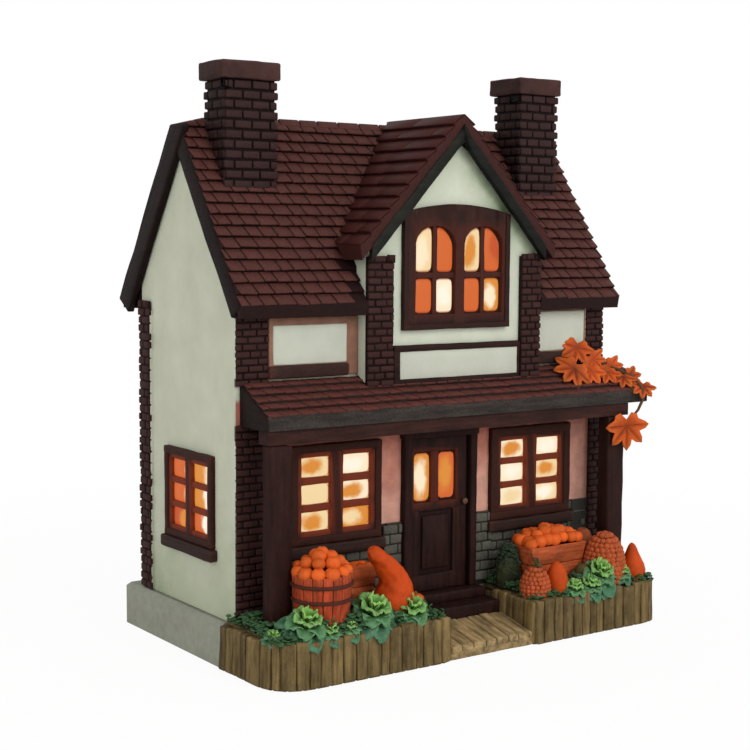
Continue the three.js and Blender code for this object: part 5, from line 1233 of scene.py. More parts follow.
def framed_panel(node, x0, x1, z0, z1, pale_x, pale_z, seed):
    """A pale infill with a rose-brown border and a dark sill, all proud of the wall."""
    border = (x0, x1, z0, z1, 25.6, PANEL_OUT)
    infill = (*pale_x, *pale_z, 26, PANEL_OUT + 0.5)
    sill = (x0 - 0.4, pale_x[1] + 1, PANEL_SILL, pale_z[0] - 0.3, 26, PANEL_OUT + 1.2)
    rounded_bars(node + "_border", node, [border], rose_border, seed, 5, 0.12, 0.5)
    rounded_bars(node + "_infill", node, [infill], cream_panel, seed + 1, 4, 0.2, 0.5)
    rounded_bars(node + "_sill", node, [sill], sill_paint, seed + 2, 4, 0.25, 0.8)


framed_panel("wall_panel_left", -83.4, -42.0, 113.2, 136.6, (-81.8, -47.8), (118.2, 133.6), 64)
framed_panel("wall_panel_right", 48.4, 81.2, 113.2, 136.6, (52.6, 79.8), (118.4, 135.8), 67)
rounded_bars("gable_panel_frame", "gable_panel", [
    (-28.9, 37.2, 121.6, 124.2, 32.0, 34.1, 0.05), (-28.9, 37.2, 107.2, 110.4, 32.0, 33.9),
    (-28.9, -25.6, 107.4, 123.0, 32.0, 33.9), (36.0, 37.4, 107.4, 123.0, 32.0, 33.9),
], dark_timber, 70, 4, 0.22, 0.6)
rounded_bars("gable_panel_infill", "gable_panel", [(-25.8, 36.4, 110.2, 121.8, 32.0, 33.3)], cream_panel,
             71, 4, 0.18, 0.4)

# %% Ends of the porch roof
for label, (x0, x1) in (("left", (-95.6, -94.6)), ("right", (101.4, 102.2))):
    def place(x, y, z):
        return at_mm(mix(x0, x1, x), mix(-45.9, -25.8, y), mix(95.3, mix(100.0, 112.0, y), z))

    bm = new_mesh()
    add_block(bm, place)
    hewn(bm, 4 * MM, 0.2 * MM, 37)
    round_edges(bm, 0.3 * MM, 2, 0.8)
    finished("porch_end_" + label, bm, [rake_timber])

# %% [markdown]
# ## Palisade beds and step
#
# Split logs stand around both beds. The CAD model has each bed as one body with a groove between the logs, and
# here every log is its own block, rounded and of its own height and depth, on the same path. The path is a
# straight front with a rounded corner, so a small function gives the point and the outward direction at any
# distance along it.

# %% Finishes of wood and earth
PALISADE = ((0.122, 0.082, 0.031), (0.012, 0.007, 0.003), (0.27, 0.195, 0.09), 0.5, 260)
palisade_wood = painted("palisade_wood", *PALISADE, grain_along=2, grain_dark=0.5, bump=0.5)
planter_finish = painted("planter_finish", *PALISADE, grain_along=2, grain_dark=0.5, bump=0.5)
step_wood = painted("step_wood", (0.27, 0.185, 0.083), (0.03, 0.018, 0.008), (0.42, 0.31, 0.17), 0.5, 200,
                    grain_along=1, grain_dark=0.5, bump=0.5)
tree, shader, color = opened(planter_finish)
soil = coat_of(tree, (0.014, 0.015, 0.006), (0.003, 0.004, 0.002), (0.05, 0.06, 0.025), 0.5, 420.0)
surface = add_node(tree, "ShaderNodeNewGeometry")
slope = add_node(tree, "ShaderNodeSeparateXYZ", Vector=surface.outputs["Normal"])
height = add_node(tree, "ShaderNodeSeparateXYZ", Vector=object_place(tree))
level = ramp(tree, slope.outputs["Z"], 0.6, 0.85)
above = ramp(tree, height.outputs["Z"], 18.2 * MM, 18.8 * MM)
earthy = combine(tree, "MAXIMUM", level, above)
tree.links.new(blend_color(tree, earthy, color, soil.outputs["Color"]), shader.inputs["Base Color"])
dress("planter_left", planter_finish)
dress("planter_right", planter_finish)


# %% A path with one rounded corner
def curve(start, pulled_to, end, share):
    """A value on a quadratic Bezier curve."""
    return (1 - share) ** 2 * start + 2 * share * (1 - share) * pulled_to + share * share * end


def bed_path(x_straight, x_corner, y_front, y_back, radius):
    """Points from the step's side along the front, round the corner and back to the wall, in mm."""
    inner = x_corner - (radius if x_corner > x_straight else -radius)
    steps, turns = 24, 16
    points = [(mix(x_straight, inner, i / steps), y_front) for i in range(steps + 1)]
    for i in range(1, turns + 1):
        t = i / turns
        points.append((curve(inner, x_corner, x_corner, t), curve(y_front, y_front, y_front + radius, t)))
    points += [(x_corner, mix(y_front + radius, y_back, i / steps)) for i in range(1, steps + 1)]
    return [Vector((x, y, 0)) for x, y in points]


def at_distance(points, distance):
    """Point and direction at a distance along a polyline."""
    for a, b in zip(points, points[1:]):
        length = (b - a).length
        if distance <= length:
            return a + (b - a) * (distance / length), (b - a).normalized()
        distance -= length
    return points[-1], (points[-1] - points[-2]).normalized()


def palisade(name, points, side, top, thick, seed):
    """Logs along a path. side is 1 where the outside lies to the right of the path's direction."""
    rng = random.Random(seed)
    total = sum((b - a).length for a, b in zip(points, points[1:]))
    bm = new_mesh()
    at = 0.2
    while at < total - 1.0:
        width = min(rng.uniform(3.6, 6.8), total - at)
        centre, direction = at_distance(points, at + width / 2)
        out = direction.cross(Z) * side
        height = top + rng.uniform(-0.6, 0.6)
        proud, tilt = rng.uniform(0.8, 1.5), rng.uniform(-0.25, 0.25)
        gap = rng.uniform(0.2, 0.7)

        def place(x, y, z):
            away = mix(-thick, proud, y) - (0.45 if z and y else 0.0)
            sideways = (x - 0.5) * (width - gap) + tilt * z
            return at_mm(*(centre + direction * sideways + out * away + Z * mix(0.4, height, z)))

        add_block(bm, place, rng.uniform(-0.38, 0.38))
        at += width
    hewn(bm, 3.6 * MM, 0.28 * MM, seed)
    round_edges(bm, 0.75 * MM, 2, 0.8)
    finished(name, bm, [palisade_wood])


palisade("palisade_left", bed_path(-20.9, -101.3, -62.8, -20.6, 18), -1, 18.1, 4.6, 71)
palisade("palisade_right", bed_path(23.2, 95.5, -62.8, -20.6, 12), 1, 18.1, 4.6, 72)
palisade("palisade_step_left", [Vector((-20.9, -62.4, 0)), Vector((-20.9, -42.0, 0))], 1, 17.9, 4.2, 73)
palisade("palisade_step_right", [Vector((22.9, -62.4, 0)), Vector((22.9, -34.0, 0))], -1, 17.9, 4.2, 74)

# %% [markdown]
# ## Step
#
# The step is a sloping slab of short planks that lie side by side and run from front to back. Each plank is a
# hewn block, so that the grooves between them notch the slab's front edge.

# %% Step planks
rng = random.Random(75)
bm = new_mesh()
at = -20.2
while at < 22.2:
    wide = min(rng.uniform(5.0, 6.6), 22.5 - at)
    drop, front = rng.uniform(-0.3, 0.2), rng.uniform(0.0, 0.5)

    def place(x, y, z):
        deep = mix(-62.2 + front, -41.5, y)
        top = mix(5.8, 10.4, y) + drop
        across = at + 0.16 + (wide - 0.32) * x
        return at_mm(across, deep - (0.3 if z == 0 and y == 0 else 0.0), mix(3.0, top, z))

    add_block(bm, place, rng.uniform(-0.2, 0.2))
    at += wide
hewn(bm, 3.6 * MM, 0.22 * MM, 75)
round_edges(bm, 0.6 * MM, 2, 0.8)
finished("step_planks", bm, [step_wood], stands_for=["front_step"])
rounded_bars("step_slab", "front_step", [(-20.3, 22.5, 0.1, 3.6, 41.4, 62.1)], step_wood,
             76, 4, 0.3, 0.6)

# %% [markdown]
# ## Harvest
#
# Each fruit is grown from a simple start: a pumpkin is a ball with ribs pressed in, a gourd is a row of rings
# along a bent path, kale is rosettes of ruffled leaves, and the tall cones are covered in round scales.
# They are small, so each has just enough faces for its outline, and the paint adds the rest.

# %% Harvest finishes
pumpkin_skin = painted("pumpkin_skin", (0.52, 0.072, 0.010), (0.12, 0.010, 0.002), (0.86, 0.26, 0.05), 0.5,
                       200, (0.4, 0.6), 0.2)
gourd_skin = painted("gourd_skin", (0.42, 0.046, 0.004), (0.10, 0.008, 0.001), (0.72, 0.15, 0.020), 0.4,
                     120, (0.4, 0.6), 0.2)
rust_scale = painted("rust_scale", (0.24, 0.031, 0.009), (0.025, 0.003, 0.001), (0.58, 0.15, 0.05), 0.6,
                     300)
basket_stave = painted("basket_stave", (0.28, 0.031, 0.009), (0.045, 0.006, 0.002), (0.60, 0.17, 0.07), 0.5,
                       300, grain_along=2)
basket_hoop = painted("basket_hoop", (0.030, 0.009, 0.006), (0.006, 0.002, 0.001), (0.16, 0.05, 0.03), 0.5,
                      300)
crate_plank = painted("crate_plank", (0.43, 0.072, 0.020), (0.08, 0.012, 0.004), (0.70, 0.27, 0.12), 0.5,
                      200, grain_along=0)
stem_green = painted("stem_green", (0.12, 0.075, 0.03), (0.02, 0.012, 0.005), (0.30, 0.2, 0.09), 0.5, 300)
leaf_green = painted("cover_green", (0.015, 0.045, 0.018), (0.003, 0.008, 0.004), (0.08, 0.16, 0.065), 0.6,
                     300)
shrub_green = painted("shrub_green", (0.013, 0.020, 0.013), (0.002, 0.003, 0.002), (0.05, 0.07, 0.04), 0.6,
                      300)
olive_skin = painted("olive_skin", (0.060, 0.045, 0.018), (0.012, 0.009, 0.004), (0.18, 0.13, 0.05), 0.5,
                     200)
dull_orange = painted("dull_orange_skin", (0.20, 0.045, 0.016), (0.03, 0.006, 0.003), (0.42, 0.12, 0.05),
                      0.5, 200)

# %% Kale material
kale_leaf, tree, shader = new_material("kale_leaf")
coat = coat_of(tree, (0.10, 0.28, 0.05), (0.012, 0.07, 0.012), (0.40, 0.58, 0.18), 0.7, 260.0)
outer = coat_of(tree, (0.014, 0.075, 0.034), (0.004, 0.022, 0.009), (0.13, 0.28, 0.17), 0.7, 260.0)
mixed = blend_color(tree, attribute(tree, "heart"), outer.outputs["Color"], coat.outputs["Color"])
relief = add_node(tree, "ShaderNodeBump", Height=coat.outputs["Height"], Strength=0.3, Distance=0.3 * MM)
tree.links.new(mixed, shader.inputs["Base Color"])
tree.links.new(relief.outputs[0], shader.inputs["Normal"])
shader.inputs["Roughness"].default_value = 0.55
shader.inputs["Specular IOR Level"].default_value = 0.2

# %% Round fruits
def ball(bm, centre, radius, squash, ribs, rib, segments, rings, tint=0.0):
    """A ball, pressed in along its ribs and at both poles. centre and radius are in mm."""
    made = bmesh.ops.create_uvsphere(bm, u_segments=segments, v_segments=rings, radius=1.0)["verts"]
    for vert in made:
        angle = math.atan2(vert.co.y, vert.co.x)
        ring = math.hypot(vert.co.x, vert.co.y)
        groove = 1 - rib * (1 - abs(math.cos(angle * ribs / 2))) * ring
        dimple = 1 - 0.22 * max(0.0, 1 - ring * 2.4)
        squeezed = Vector((vert.co.x * groove, vert.co.y * groove, vert.co.z * squash * dimple))
        vert.co = squeezed * (radius * MM) + at_mm(*centre)
    tint_all(bm, made, tint)


def fruit(name, material, slot, *shape, stands_for=()):
    """A piece that is a single ball."""
    bm = new_mesh()
    ball(bm, *shape)
    finished(name, bm, [material], stands_for=stands_for)


def rim_edges(ring):
    """The edges whose two ends both belong to a ring."""
    return {e for v in ring for e in v.link_edges if all(w in ring for w in e.verts)}


def tapered(bm, points, radii, segments, tint=0.0):
    """A round body along points, each with its own radius, closed at both ends, all in mm."""
    points = [at_mm(*point) for point in points]
    rings = []
    for number, (point, radius) in enumerate(zip(points, radii)):
        ahead = points[min(number + 1, len(points) - 1)] - points[max(number - 1, 0)]
        turned = Matrix.Translation(point) @ ahead.to_track_quat("Z", "Y").to_matrix().to_4x4()
        ring = bmesh.ops.create_circle(bm, segments=segments, radius=radius * MM, matrix=turned)["verts"]
        tint_all(bm, ring, tint)
        rings.append(ring)
    for low, high in zip(rings, rings[1:]):
        bmesh.ops.bridge_loops(bm, edges=[*rim_edges(low), *rim_edges(high)])
    for ring in (rings[0], rings[-1]):
        bmesh.ops.contextual_create(bm, geom=list(rim_edges(ring)))


def around(middle, away, angle):
    """The x and y of a point that lies away from a middle, at an angle."""
    return middle[0] + away * math.cos(angle), middle[1] + away * math.sin(angle)


fruit("small_pumpkin_skin", pumpkin_skin, "orange", (-24.9, -44.0, 22.3), 3.7, 0.66, 10, 0.16, 40, 14,
      stands_for=["small_pumpkin"])
bm = new_mesh()
tapered(bm, [(-24.9, -44.0, 23.9), (-24.8, -44.1, 24.8), (-24.5, -44.3, 25.3)], [0.9, 0.55, 0.5], 8)
round_edges(bm, 0.1 * MM, 1)
finished("small_pumpkin_stem", bm, [stem_green])

# %% Crookneck gourd
GOURD = (  # x, z and radius in mm
    (-40.0, 18.8, 1.4), (-40.0, 19.2, 4.0), (-40.0, 20.8, 6.6), (-39.9, 23.8, 8.1), (-39.6, 27.2, 8.2),
    (-39.5, 30.6, 7.3), (-40.2, 33.8, 6.1), (-41.7, 36.7, 5.1), (-43.8, 39.2, 4.3), (-46.0, 41.4, 3.8),
    (-48.0, 43.4, 3.6), (-49.6, 45.2, 3.2), (-50.5, 46.4, 2.3), (-51.0, 47.2, 1.0),
)
bm = new_mesh()
tapered(bm, [(x, -49.8, z) for x, z, _ in GOURD], [size for _, _, size in GOURD], 24)
bmesh.ops.subdivide_edges(bm, edges=bm.edges[:], cuts=2, use_grid_fill=True, smooth=0.6)
roughened(bm, 160, 0.4)
roughened(bm, 420, 0.45)
finished("crookneck_gourd_skin", bm, [gourd_skin], stands_for=["crookneck_gourd"])

# %% Pear gourds and squashes
PEAR = ((0.0, 0.3), (0.02, 0.6), (0.08, 0.86), (0.2, 0.99), (0.34, 1.0), (0.48, 0.9), (0.62, 0.7),
        (0.75, 0.5), (0.86, 0.36), (0.94, 0.25), (1.0, 0.1))
EGG = ((0.0, 0.3), (0.03, 0.62), (0.12, 0.88), (0.3, 1.0), (0.5, 0.98), (0.68, 0.86), (0.82, 0.66),
       (0.92, 0.42), (1.0, 0.14))
for node, (x, y), radius, foot, top, outline in (
    ("gourd_front", (42.2, -54.6), 4.8, 15.6, 31.6, EGG),
    ("gourd_corner", (88.3, -52.8), 5.9, 15.8, 33.8, PEAR),
):
    bm = new_mesh()
    middles = [(x - 0.6 * share * share, y, mix(foot, top, share)) for share, _ in outline]
    tapered(bm, middles, [radius * girth for _, girth in outline], 24)
    roughened(bm, 200, 0.3)
    finished(node + "_skin", bm, [gourd_skin], stands_for=[node])
fruit("tall_squash", dull_orange, "rust", (70.6, -39.4, 30.5), 5.0, 2.1, 8, 0.1, 24, 16)
fruit("olive_gourd", olive_skin, "greens", (59.2, -52.4, 24.0), 3.9, 1.15, 8, 0.08, 24, 12)

# %% Scaled cones
BODY_SHARES = (0.0, 0.15, 0.3, 0.45, 0.6, 0.75, 0.88, 1.0)
for node, place, radius, foot, top, bead, seed in (
    ("cone_back", (71.6, -52.4), 9.2, 15.0, 41.2, 1.45, 81),
    ("cone_front", (30.8, -53.6), 6.5, 15.0, 31.2, 1.25, 82),
):
    def girth_at(share):
        """The cone's radius in mm at a share of its height."""
        return radius * math.sqrt(max(0.02, 1 - (1.75 * share - 0.72) ** 2 * 0.92))

    rng = random.Random(seed)
    bm = new_mesh()
    rows = round((top - foot) / (bead * 1.42))
    for row in range(rows):
        share = (row + 0.5) / rows
        girth = girth_at(share)
        count = max(4, round(girth * math.tau / (bead * 1.75)))
        for number in range(count):
            angle = (number + 0.5 * (row % 2)) / count * math.tau + rng.uniform(-0.05, 0.05)
            size = bead * rng.uniform(0.85, 1.12)
            spot = at_mm(*around(place, girth - size * 0.75, angle), mix(foot, top - 1.2, share))
            made = bmesh.ops.create_icosphere(bm, subdivisions=2, radius=size * MM,
                                              matrix=Matrix.Translation(spot))["verts"]
            tint_all(bm, made, rng.uniform(-0.25, 0.3))
    tapered(bm, [(*place, mix(foot, top - 1.4, s)) for s in BODY_SHARES],
            [girth_at(s) - bead * 0.95 for s in BODY_SHARES], 16, -0.6)
    finished(node + "_scales", bm, [rust_scale], stands_for=[node])

# %% Basket
BASKET, BASKET_FOOT, BASKET_RIM = (-74.0, -50.4), 15.0, 40.8
STAVES, STAVE_RADIUS, STAVE_THICK, HOOP = 18, 10.0, 1.2, 0.75


def basket_share(height):
    return (height - BASKET_FOOT) / (BASKET_RIM - BASKET_FOOT)


def basket_girth(share):
    """The barrel's radius in mm at a share of its height."""
    return 8.4 + 3.2 * math.sin(min(1.0, share * 1.15) * math.pi / 2) - 0.3 * max(0.0, share - 0.8)


rng = random.Random(83)
bm = new_mesh()
for number in range(STAVES):
    first, last = number / STAVES * math.tau, (number + 0.94) / STAVES * math.tau
    rise = rng.uniform(-0.3, 0.3)

    def place(x, y, z):
        radius = STAVE_RADIUS - STAVE_THICK * (1 - y)
        return at_mm(*around(BASKET, radius, mix(first, last, x)), mix(BASKET_FOOT, BASKET_RIM + rise, z))

    add_block(bm, place, rng.uniform(-0.2, 0.25))
hewn(bm, 2.6 * MM, 0.12 * MM, 83)
axis = at_mm(*BASKET, 0)
for vert in bm.verts:
    share = min(1.0, max(0.0, basket_share(vert.co.z / MM)))
    flat = Vector((vert.co.x - axis.x, vert.co.y - axis.y, 0))
    vert.co += flat.normalized() * (basket_girth(share) - STAVE_RADIUS) * MM
round_edges(bm, 0.4 * MM, 2, 0.8)
finished("basket_staves", bm, [basket_stave], stands_for=["harvest_basket"])
bm = new_mesh()
upright = Matrix.Rotation(math.pi / 2, 4, "X")
for height in (31.0, 36.8, 22.0):
    middle = at_mm(*BASKET, height)
    radius = (basket_girth(basket_share(height)) + 0.05) * MM
    profile = bmesh.ops.create_circle(bm, segments=8, radius=HOOP * MM,
                                      matrix=Matrix.Translation(middle + X * radius) @ upright)["verts"]
    edges = list({e for v in profile for e in v.link_edges})
    bmesh.ops.spin(bm, geom=profile + edges, cent=middle, axis=Z, angle=math.tau, steps=40, use_merge=True)
bmesh.ops.remove_doubles(bm, verts=bm.verts[:], dist=0.01 * MM)
finished("basket_hoops", bm, [basket_hoop], stands_for=["harvest_basket"])


# %% Heaps of small fruit
def heap(name, node, centres, radius, seed):
    """Small round fruits that rest on each other, with their tint from a seeded generator."""
    rng = random.Random(seed)
    bm = new_mesh()
    for centre in centres:
        ball(bm, centre, radius * rng.uniform(0.9, 1.12), 0.92, 8, 0.05, 24, 12, rng.uniform(-0.2, 0.25))
    finished(name, bm, [pumpkin_skin], stands_for=[node])


def dome_of_fruit(centre, radius, pile, size, seed):
    """Centres over a dome: rings from the rim inwards and one on top."""
    rng = random.Random(seed)
    for ring, share in enumerate((1.0, 0.68, 0.36, 0.0)):
        away = radius * share
        count = max(1, int(math.tau * away / (size * 1.9)))
        for number in range(count):
            angle = (number + 0.4 * ring) / count * math.tau
            rise = pile * (1 - share ** 1.8)
            yield (*around(centre, away, angle), centre[2] + rise + rng.uniform(-0.5, 0.5))


dome = dome_of_fruit((*BASKET, BASKET_RIM + 0.8), 9.2, 6.4, 2.75, 84)
heap("basket_fruit", "harvest_basket", dome, 2.85, 84)


# %% Crates
CRATE_LEAN, CRATE_ROWS, BOARD_THICK, BOARD_GAP = 1.8, 2, 1.4, 0.08


def crate(node, x0, x1, y0, y1, rim, seed):
    """A box of boards whose four sides lean outwards."""
    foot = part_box(node)[0].z / MM
    rng = random.Random(seed)
    bm = new_mesh()
    for start, end, inward in (
        ((x0, y0), (x1, y0), (0, 1)), ((x1, y1), (x0, y1), (0, -1)),
        ((x0, y1), (x0, y0), (1, 0)), ((x1, y0), (x1, y1), (-1, 0)),
    ):
        for row in range(CRATE_ROWS):
            z0 = mix(foot, rim, row / CRATE_ROWS) + BOARD_GAP
            z1 = mix(foot, rim, (row + 1) / CRATE_ROWS) - BOARD_GAP

            def place(x, y, z):
                height = mix(z0, z1, z)
                narrower = CRATE_LEAN * (rim - height) / (rim - foot)
                spot = [mix(start[i], end[i], x) + inward[i] * BOARD_THICK * y for i in (0, 1)]
                spot[0] += narrower if spot[0] < (x0 + x1) / 2 else -narrower
                spot[1] += narrower if spot[1] < (y0 + y1) / 2 else -narrower
                return at_mm(*spot, height)

            add_block(bm, place, rng.uniform(-0.15, 0.2))
    hewn(bm, 3.2 * MM, 0.16 * MM, seed)
    round_edges(bm, 0.4 * MM, 2, 0.8)
    finished(node + "_boards", bm, [crate_plank], stands_for=[node])


crate("crate_left", -53.6, -40.4, -39.6, -29.6, 37.6, 85)
crate("crate_right", 33.9, 65.0, -47.9, -31.6, 36.4, 86)
rng = random.Random(87)
spots = []
for row in range(4):
    for column in range(7):
        x = mix(36.6, 62.6, column / 6) + rng.uniform(-0.6, 0.6) + (1.2 if row % 2 else -0.6)
        y = mix(-44.8, -34.2, row / 3) + rng.uniform(-0.4, 0.4)
        inside = min((x - 34.0) / 12.0, (65.4 - x) / 12.0, (y + 47.6) / 7.0, (-31.0 - y) / 6.0, 1.0)
        spots.append((min(x, 62.6), y, 36.6 + 5.0 * max(0.0, inside) + rng.uniform(-0.4, 0.6)))
heap("crate_right_fruit", "crate_right", spots, 2.9, 88)
two_rows = [(x, y, 36.2) for x in (-50.4, -46.9, -43.4) for y in (-36.9, -32.4)]
heap("crate_left_fruit", "crate_left", two_rows, 2.2, 89)


# %% Kale rosettes
KALE_RINGS = (  # leaves, reach, width, height of root, middle and tip, share of heart colour
    (8, 1.00, 0.80, 0.10, 0.34, -0.02, 0.0),
    (7, 0.80, 0.70, 0.20, 0.52, 0.36, 0.15),
    (6, 0.56, 0.54, 0.25, 0.66, 0.68, 0.65),
    (4, 0.30, 0.38, 0.30, 0.72, 0.86, 1.0),
)


def rosette(bm, centre, radius, rng, lean):
    """Rings of broad ruffled leaves, flat outside and upright in the heart, leaning to the front."""
    heart_layer, tint_layer = bm.verts.layers.float["heart"], bm.verts.layers.float["tint"]
    tip = Matrix.Translation(at_mm(*centre)) @ Matrix.Rotation(lean, 4, "X") @ Matrix.Scale(radius * MM, 4)
    for ring, (count, reach, wide, root, middle, end, share) in enumerate(KALE_RINGS):
        for number in range(count):
            angle = (number + 0.5 * (ring % 2) + rng.uniform(-0.15, 0.15)) / count * math.tau
            length = reach * rng.uniform(0.9, 1.08)
            phase, tint = rng.uniform(0, math.tau), rng.uniform(-0.2, 0.25)
            for vert in bmesh.ops.create_grid(bm, x_segments=6, y_segments=5, size=0.5)["verts"]:
                u, v = vert.co.x + 0.5, vert.co.y + 0.5
                edge = abs(u - 0.5) * 2
                outwards = length * (0.08 + 0.92 * v * (1 - 0.22 * edge * edge * v))
                half = wide * 0.5 * (0.25 + 0.75 * math.sin(math.pi * min(1.0, 0.10 + 0.66 * v)))
                sideways = (u - 0.5) * 2 * half
                rise = (1 - v) ** 2 * root + 2 * v * (1 - v) * middle * 1.4 + v * v * end
                ruffle = 0.05 * math.sin(phase + u * 11 + v * 6) * (edge * v + v * v * 0.7)
                rise += 0.10 * edge * edge * v + ruffle
                vert.co = tip @ Vector((outwards * math.cos(angle) - sideways * math.sin(angle),
                                        outwards * math.sin(angle) + sideways * math.cos(angle), rise))
                vert[heart_layer] = min(1.0, share + 0.2 * (1 - v))
                vert[tint_layer] = tint + (0.35 if edge > 0.7 or v > 0.9 else -0.15)


def kale_bed(node, plants, seed):
    """A bed of rosettes. A plant is x, y, z and radius in mm, and its lean in radians."""
    rng = random.Random(seed)
    bm = new_mesh()
    bm.verts.layers.float.new("heart")
    for x, y, z, radius, lean in plants:
        rosette(bm, (x, y, z), radius, rng, lean)
    bmesh.ops.recalc_face_normals(bm, faces=bm.faces[:])
    bmesh.ops.solidify(bm, geom=bm.faces[:], thickness=0.4 * MM)
    finished(node + "_leaves", bm, [kale_leaf], stands_for=[node])


kale_bed("kale_left", [
    (-85.0, -54.6, 19.3, 11.0, 0.45), (-54.9, -54.4, 19.8, 12.0, 0.5), (-36.2, -54.0, 17.6, 10.8, 0.5),
    (-67.2, -58.0, 17.2, 6.4, 0.3), (-97.0, -52.4, 17.4, 4.8, 0.3), (-76.6, -58.4, 17.4, 6.6, 0.4),
], 91)
kale_bed("kale_right", [
    (63.4, -55.6, 20.2, 11.0, 0.5), (47.6, -58.2, 16.8, 7.4, 0.35), (76.0, -56.8, 20.6, 6.4, 0.4),
    (56.4, -58.4, 17.2, 7.8, 0.4),
], 92)


# %% Low cover on the beds
def small_leaf(bm, spot, radius, turned, tint):
    """A flat oval leaf with six corners."""
    made = bmesh.ops.create_circle(bm, cap_ends=True, segments=6, radius=radius * MM,
                                   matrix=Matrix.Translation(spot) @ turned @ Matrix.Scale(0.6, 4, Y))
    tint_all(bm, made["verts"], tint)


def any_turn(rng, least, most):
    """Any turn about Z, and a tilt between two angles."""
    turn = Matrix.Rotation(rng.uniform(0, math.tau), 4, "Z")
    return turn @ Matrix.Rotation(rng.uniform(least, most), 4, "X")


def ground(name, areas, seed, leaves, pile):
    """Small leaves on the earth. An area is (x range, y range, height at the front, height at the back)."""
    rng = random.Random(seed)
    bm = new_mesh()
    total = sum((x1 - x0) * (y1 - y0) for (x0, x1), (y0, y1), low, high in areas)
    for (x0, x1), (y0, y1), low, high in areas:
        for number in range(int(leaves * (x1 - x0) * (y1 - y0) / total)):
            x, y = rng.uniform(x0, x1), rng.uniform(y0, y1)
            swell = 0.5 + 0.5 * noise.noise(Vector((x * 0.11, y * 0.11, seed)))
            z = mix(low, high, (y - y0) / (y1 - y0)) + rng.uniform(-0.1, pile) * (0.4 + swell)
            radius = rng.uniform(0.9, 1.9)
            small_leaf(bm, at_mm(x, y, z), radius, any_turn(rng, -0.9, 0.9), rng.uniform(-0.5, 0.7))
    bmesh.ops.solidify(bm, geom=bm.faces[:], thickness=0.4 * MM)
    finished(name, bm, [leaf_green])


ground("cover_left", [
    ((-99, -23), (-60.6, -56), 17.6, 17.8), ((-100, -23), (-56, -46), 17.6, 20.0),
    ((-100, -23), (-46, -24), 19.6, 20.2),
], 93, 3000, 3.4)
ground("cover_right", [
    ((25, 93), (-60.6, -56), 17.4, 17.8), ((25, 93), (-56, -46), 17.6, 20.0),
    ((25, 94), (-46, -24), 19.6, 20.2),
], 94, 2600, 3.0)
ground("basket_bank", [
    ((-86, -61), (-61.4, -59.0), 18.5, 22.0), ((-64, -40), (-58, -48), 18.0, 22.5),
], 95, 560, 4.5)
ground("crate_bank", [((34, 66), (-52.5, -48.6), 18.5, 20.5)], 96, 160, 3.5)


# %% Shrub beside the door and tuft on the front cone
def shrub(name, centre, reach, height, leaves, seed, material, size):
    """Leaves set in the shape of an upright round bush."""
    rng = random.Random(seed)
    bm = new_mesh()
    for number in range(leaves):
        share = rng.uniform(0, 1)
        angle = rng.uniform(0, math.tau)
        away = (1 - 0.6 * share ** 2) * reach * math.sqrt(rng.uniform(0.35, 1))
        turned = any_turn(rng, 0.2, 1.3)
        spot = at_mm(*around(centre, away, angle), centre[2] + height * share)
        small_leaf(bm, spot, rng.uniform(*size), turned, rng.uniform(-0.5, 0.5))
    bmesh.ops.solidify(bm, geom=bm.faces[:], thickness=0.35 * MM)
    finished(name, bm, [material])


shrub("porch_shrub", (29.4, -37.6, 20.2), 5.6, 17.0, 420, 97, shrub_green, (0.9, 1.8))
shrub("cone_tuft", (31.2, -53.8, 30.4), 1.7, 3.8, 40, 98, olive_skin, (0.7, 1.2))

# %% [markdown]
# ## Maple leaves
#
# Eight leaves of painted resin lie on the porch roof's right end, one rests against the wall panel, and one
# hangs down in front of the end of the porch beam. Each is a five-lobed plate: a flat fan whose outline comes
# from a short table of angles and reaches, bent along its middle rib. The CAD model has them as one vine node,
# which these leaves and their twig replace.

# %% Leaf finish
maple = painted("maple_leaf", (0.34, 0.050, 0.008), (0.07, 0.008, 0.002), (0.66, 0.20, 0.035), 0.6, 160,
                (0.4, 0.65), 0.3)
twig_brown = painted("twig_brown", (0.05, 0.025, 0.012), (0.008, 0.004, 0.002), (0.2, 0.1, 0.05), 0.5, 400)

# %% Leaves and twig
HALF_LOBES = ((12, 0.84), (21, 0.62), (30, 0.84), (42, 1.02), (54, 0.84), (66, 0.62), (78, 0.84), (90, 0.98),
              (98, 0.86), (116, 0.60), (132, 0.66), (152, 0.58))
LOBES = ((-180, 0.20), *((-angle, reach) for angle, reach in reversed(HALF_LOBES)), (0, 1.05), *HALF_LOBES)
VEINS = (0, 42, -42, 90, -90)


def maple_leaf(bm, centre, tip, facing, size, bend, tint):
    """A lobed plate at centre whose middle lobe points to tip and whose face looks along facing."""
    centre, tip, facing = at_mm(*centre), at_mm(*tip), Vector(facing)
    ahead = (tip - centre).normalized()
    out = (facing - ahead * facing.dot(ahead)).normalized()
    side = ahead.cross(out)
    layer = bm.verts.layers.float["tint"]
    hub = bm.verts.new(centre + out * 0.5 * MM)
    hub[layer] = tint - 0.5
    rings = []
    for share in (0.5, 1.0):
        ring = []
        for angle, reach in LOBES:
            turn, far = math.radians(angle), reach if share == 1.0 else 0.5 * (0.35 + 0.65 * reach)
            x, y = far * math.sin(turn), far * math.cos(turn)
            vein = 1.0 if angle in VEINS else 0.0
            rise = bend * (x * x * 0.9 - y * y * 0.35) + (0.05 - 0.10 * vein) * (1 if share == 0.5 else 0.4)
            vert = bm.verts.new(centre + (ahead * y + side * x + out * (rise + 0.06)) * (size * MM))
            vert[layer] = tint + (0.35 if share == 1.0 and not vein else 0.0) - 0.25 * vein
            ring.append(vert)
        rings.append(ring)
    inner, outer = rings
    for number in range(len(LOBES)):
        after = (number + 1) % len(LOBES)
        bm.faces.new((hub, inner[number], inner[after]))
        bm.faces.new((inner[number], outer[number], outer[after], inner[after]))


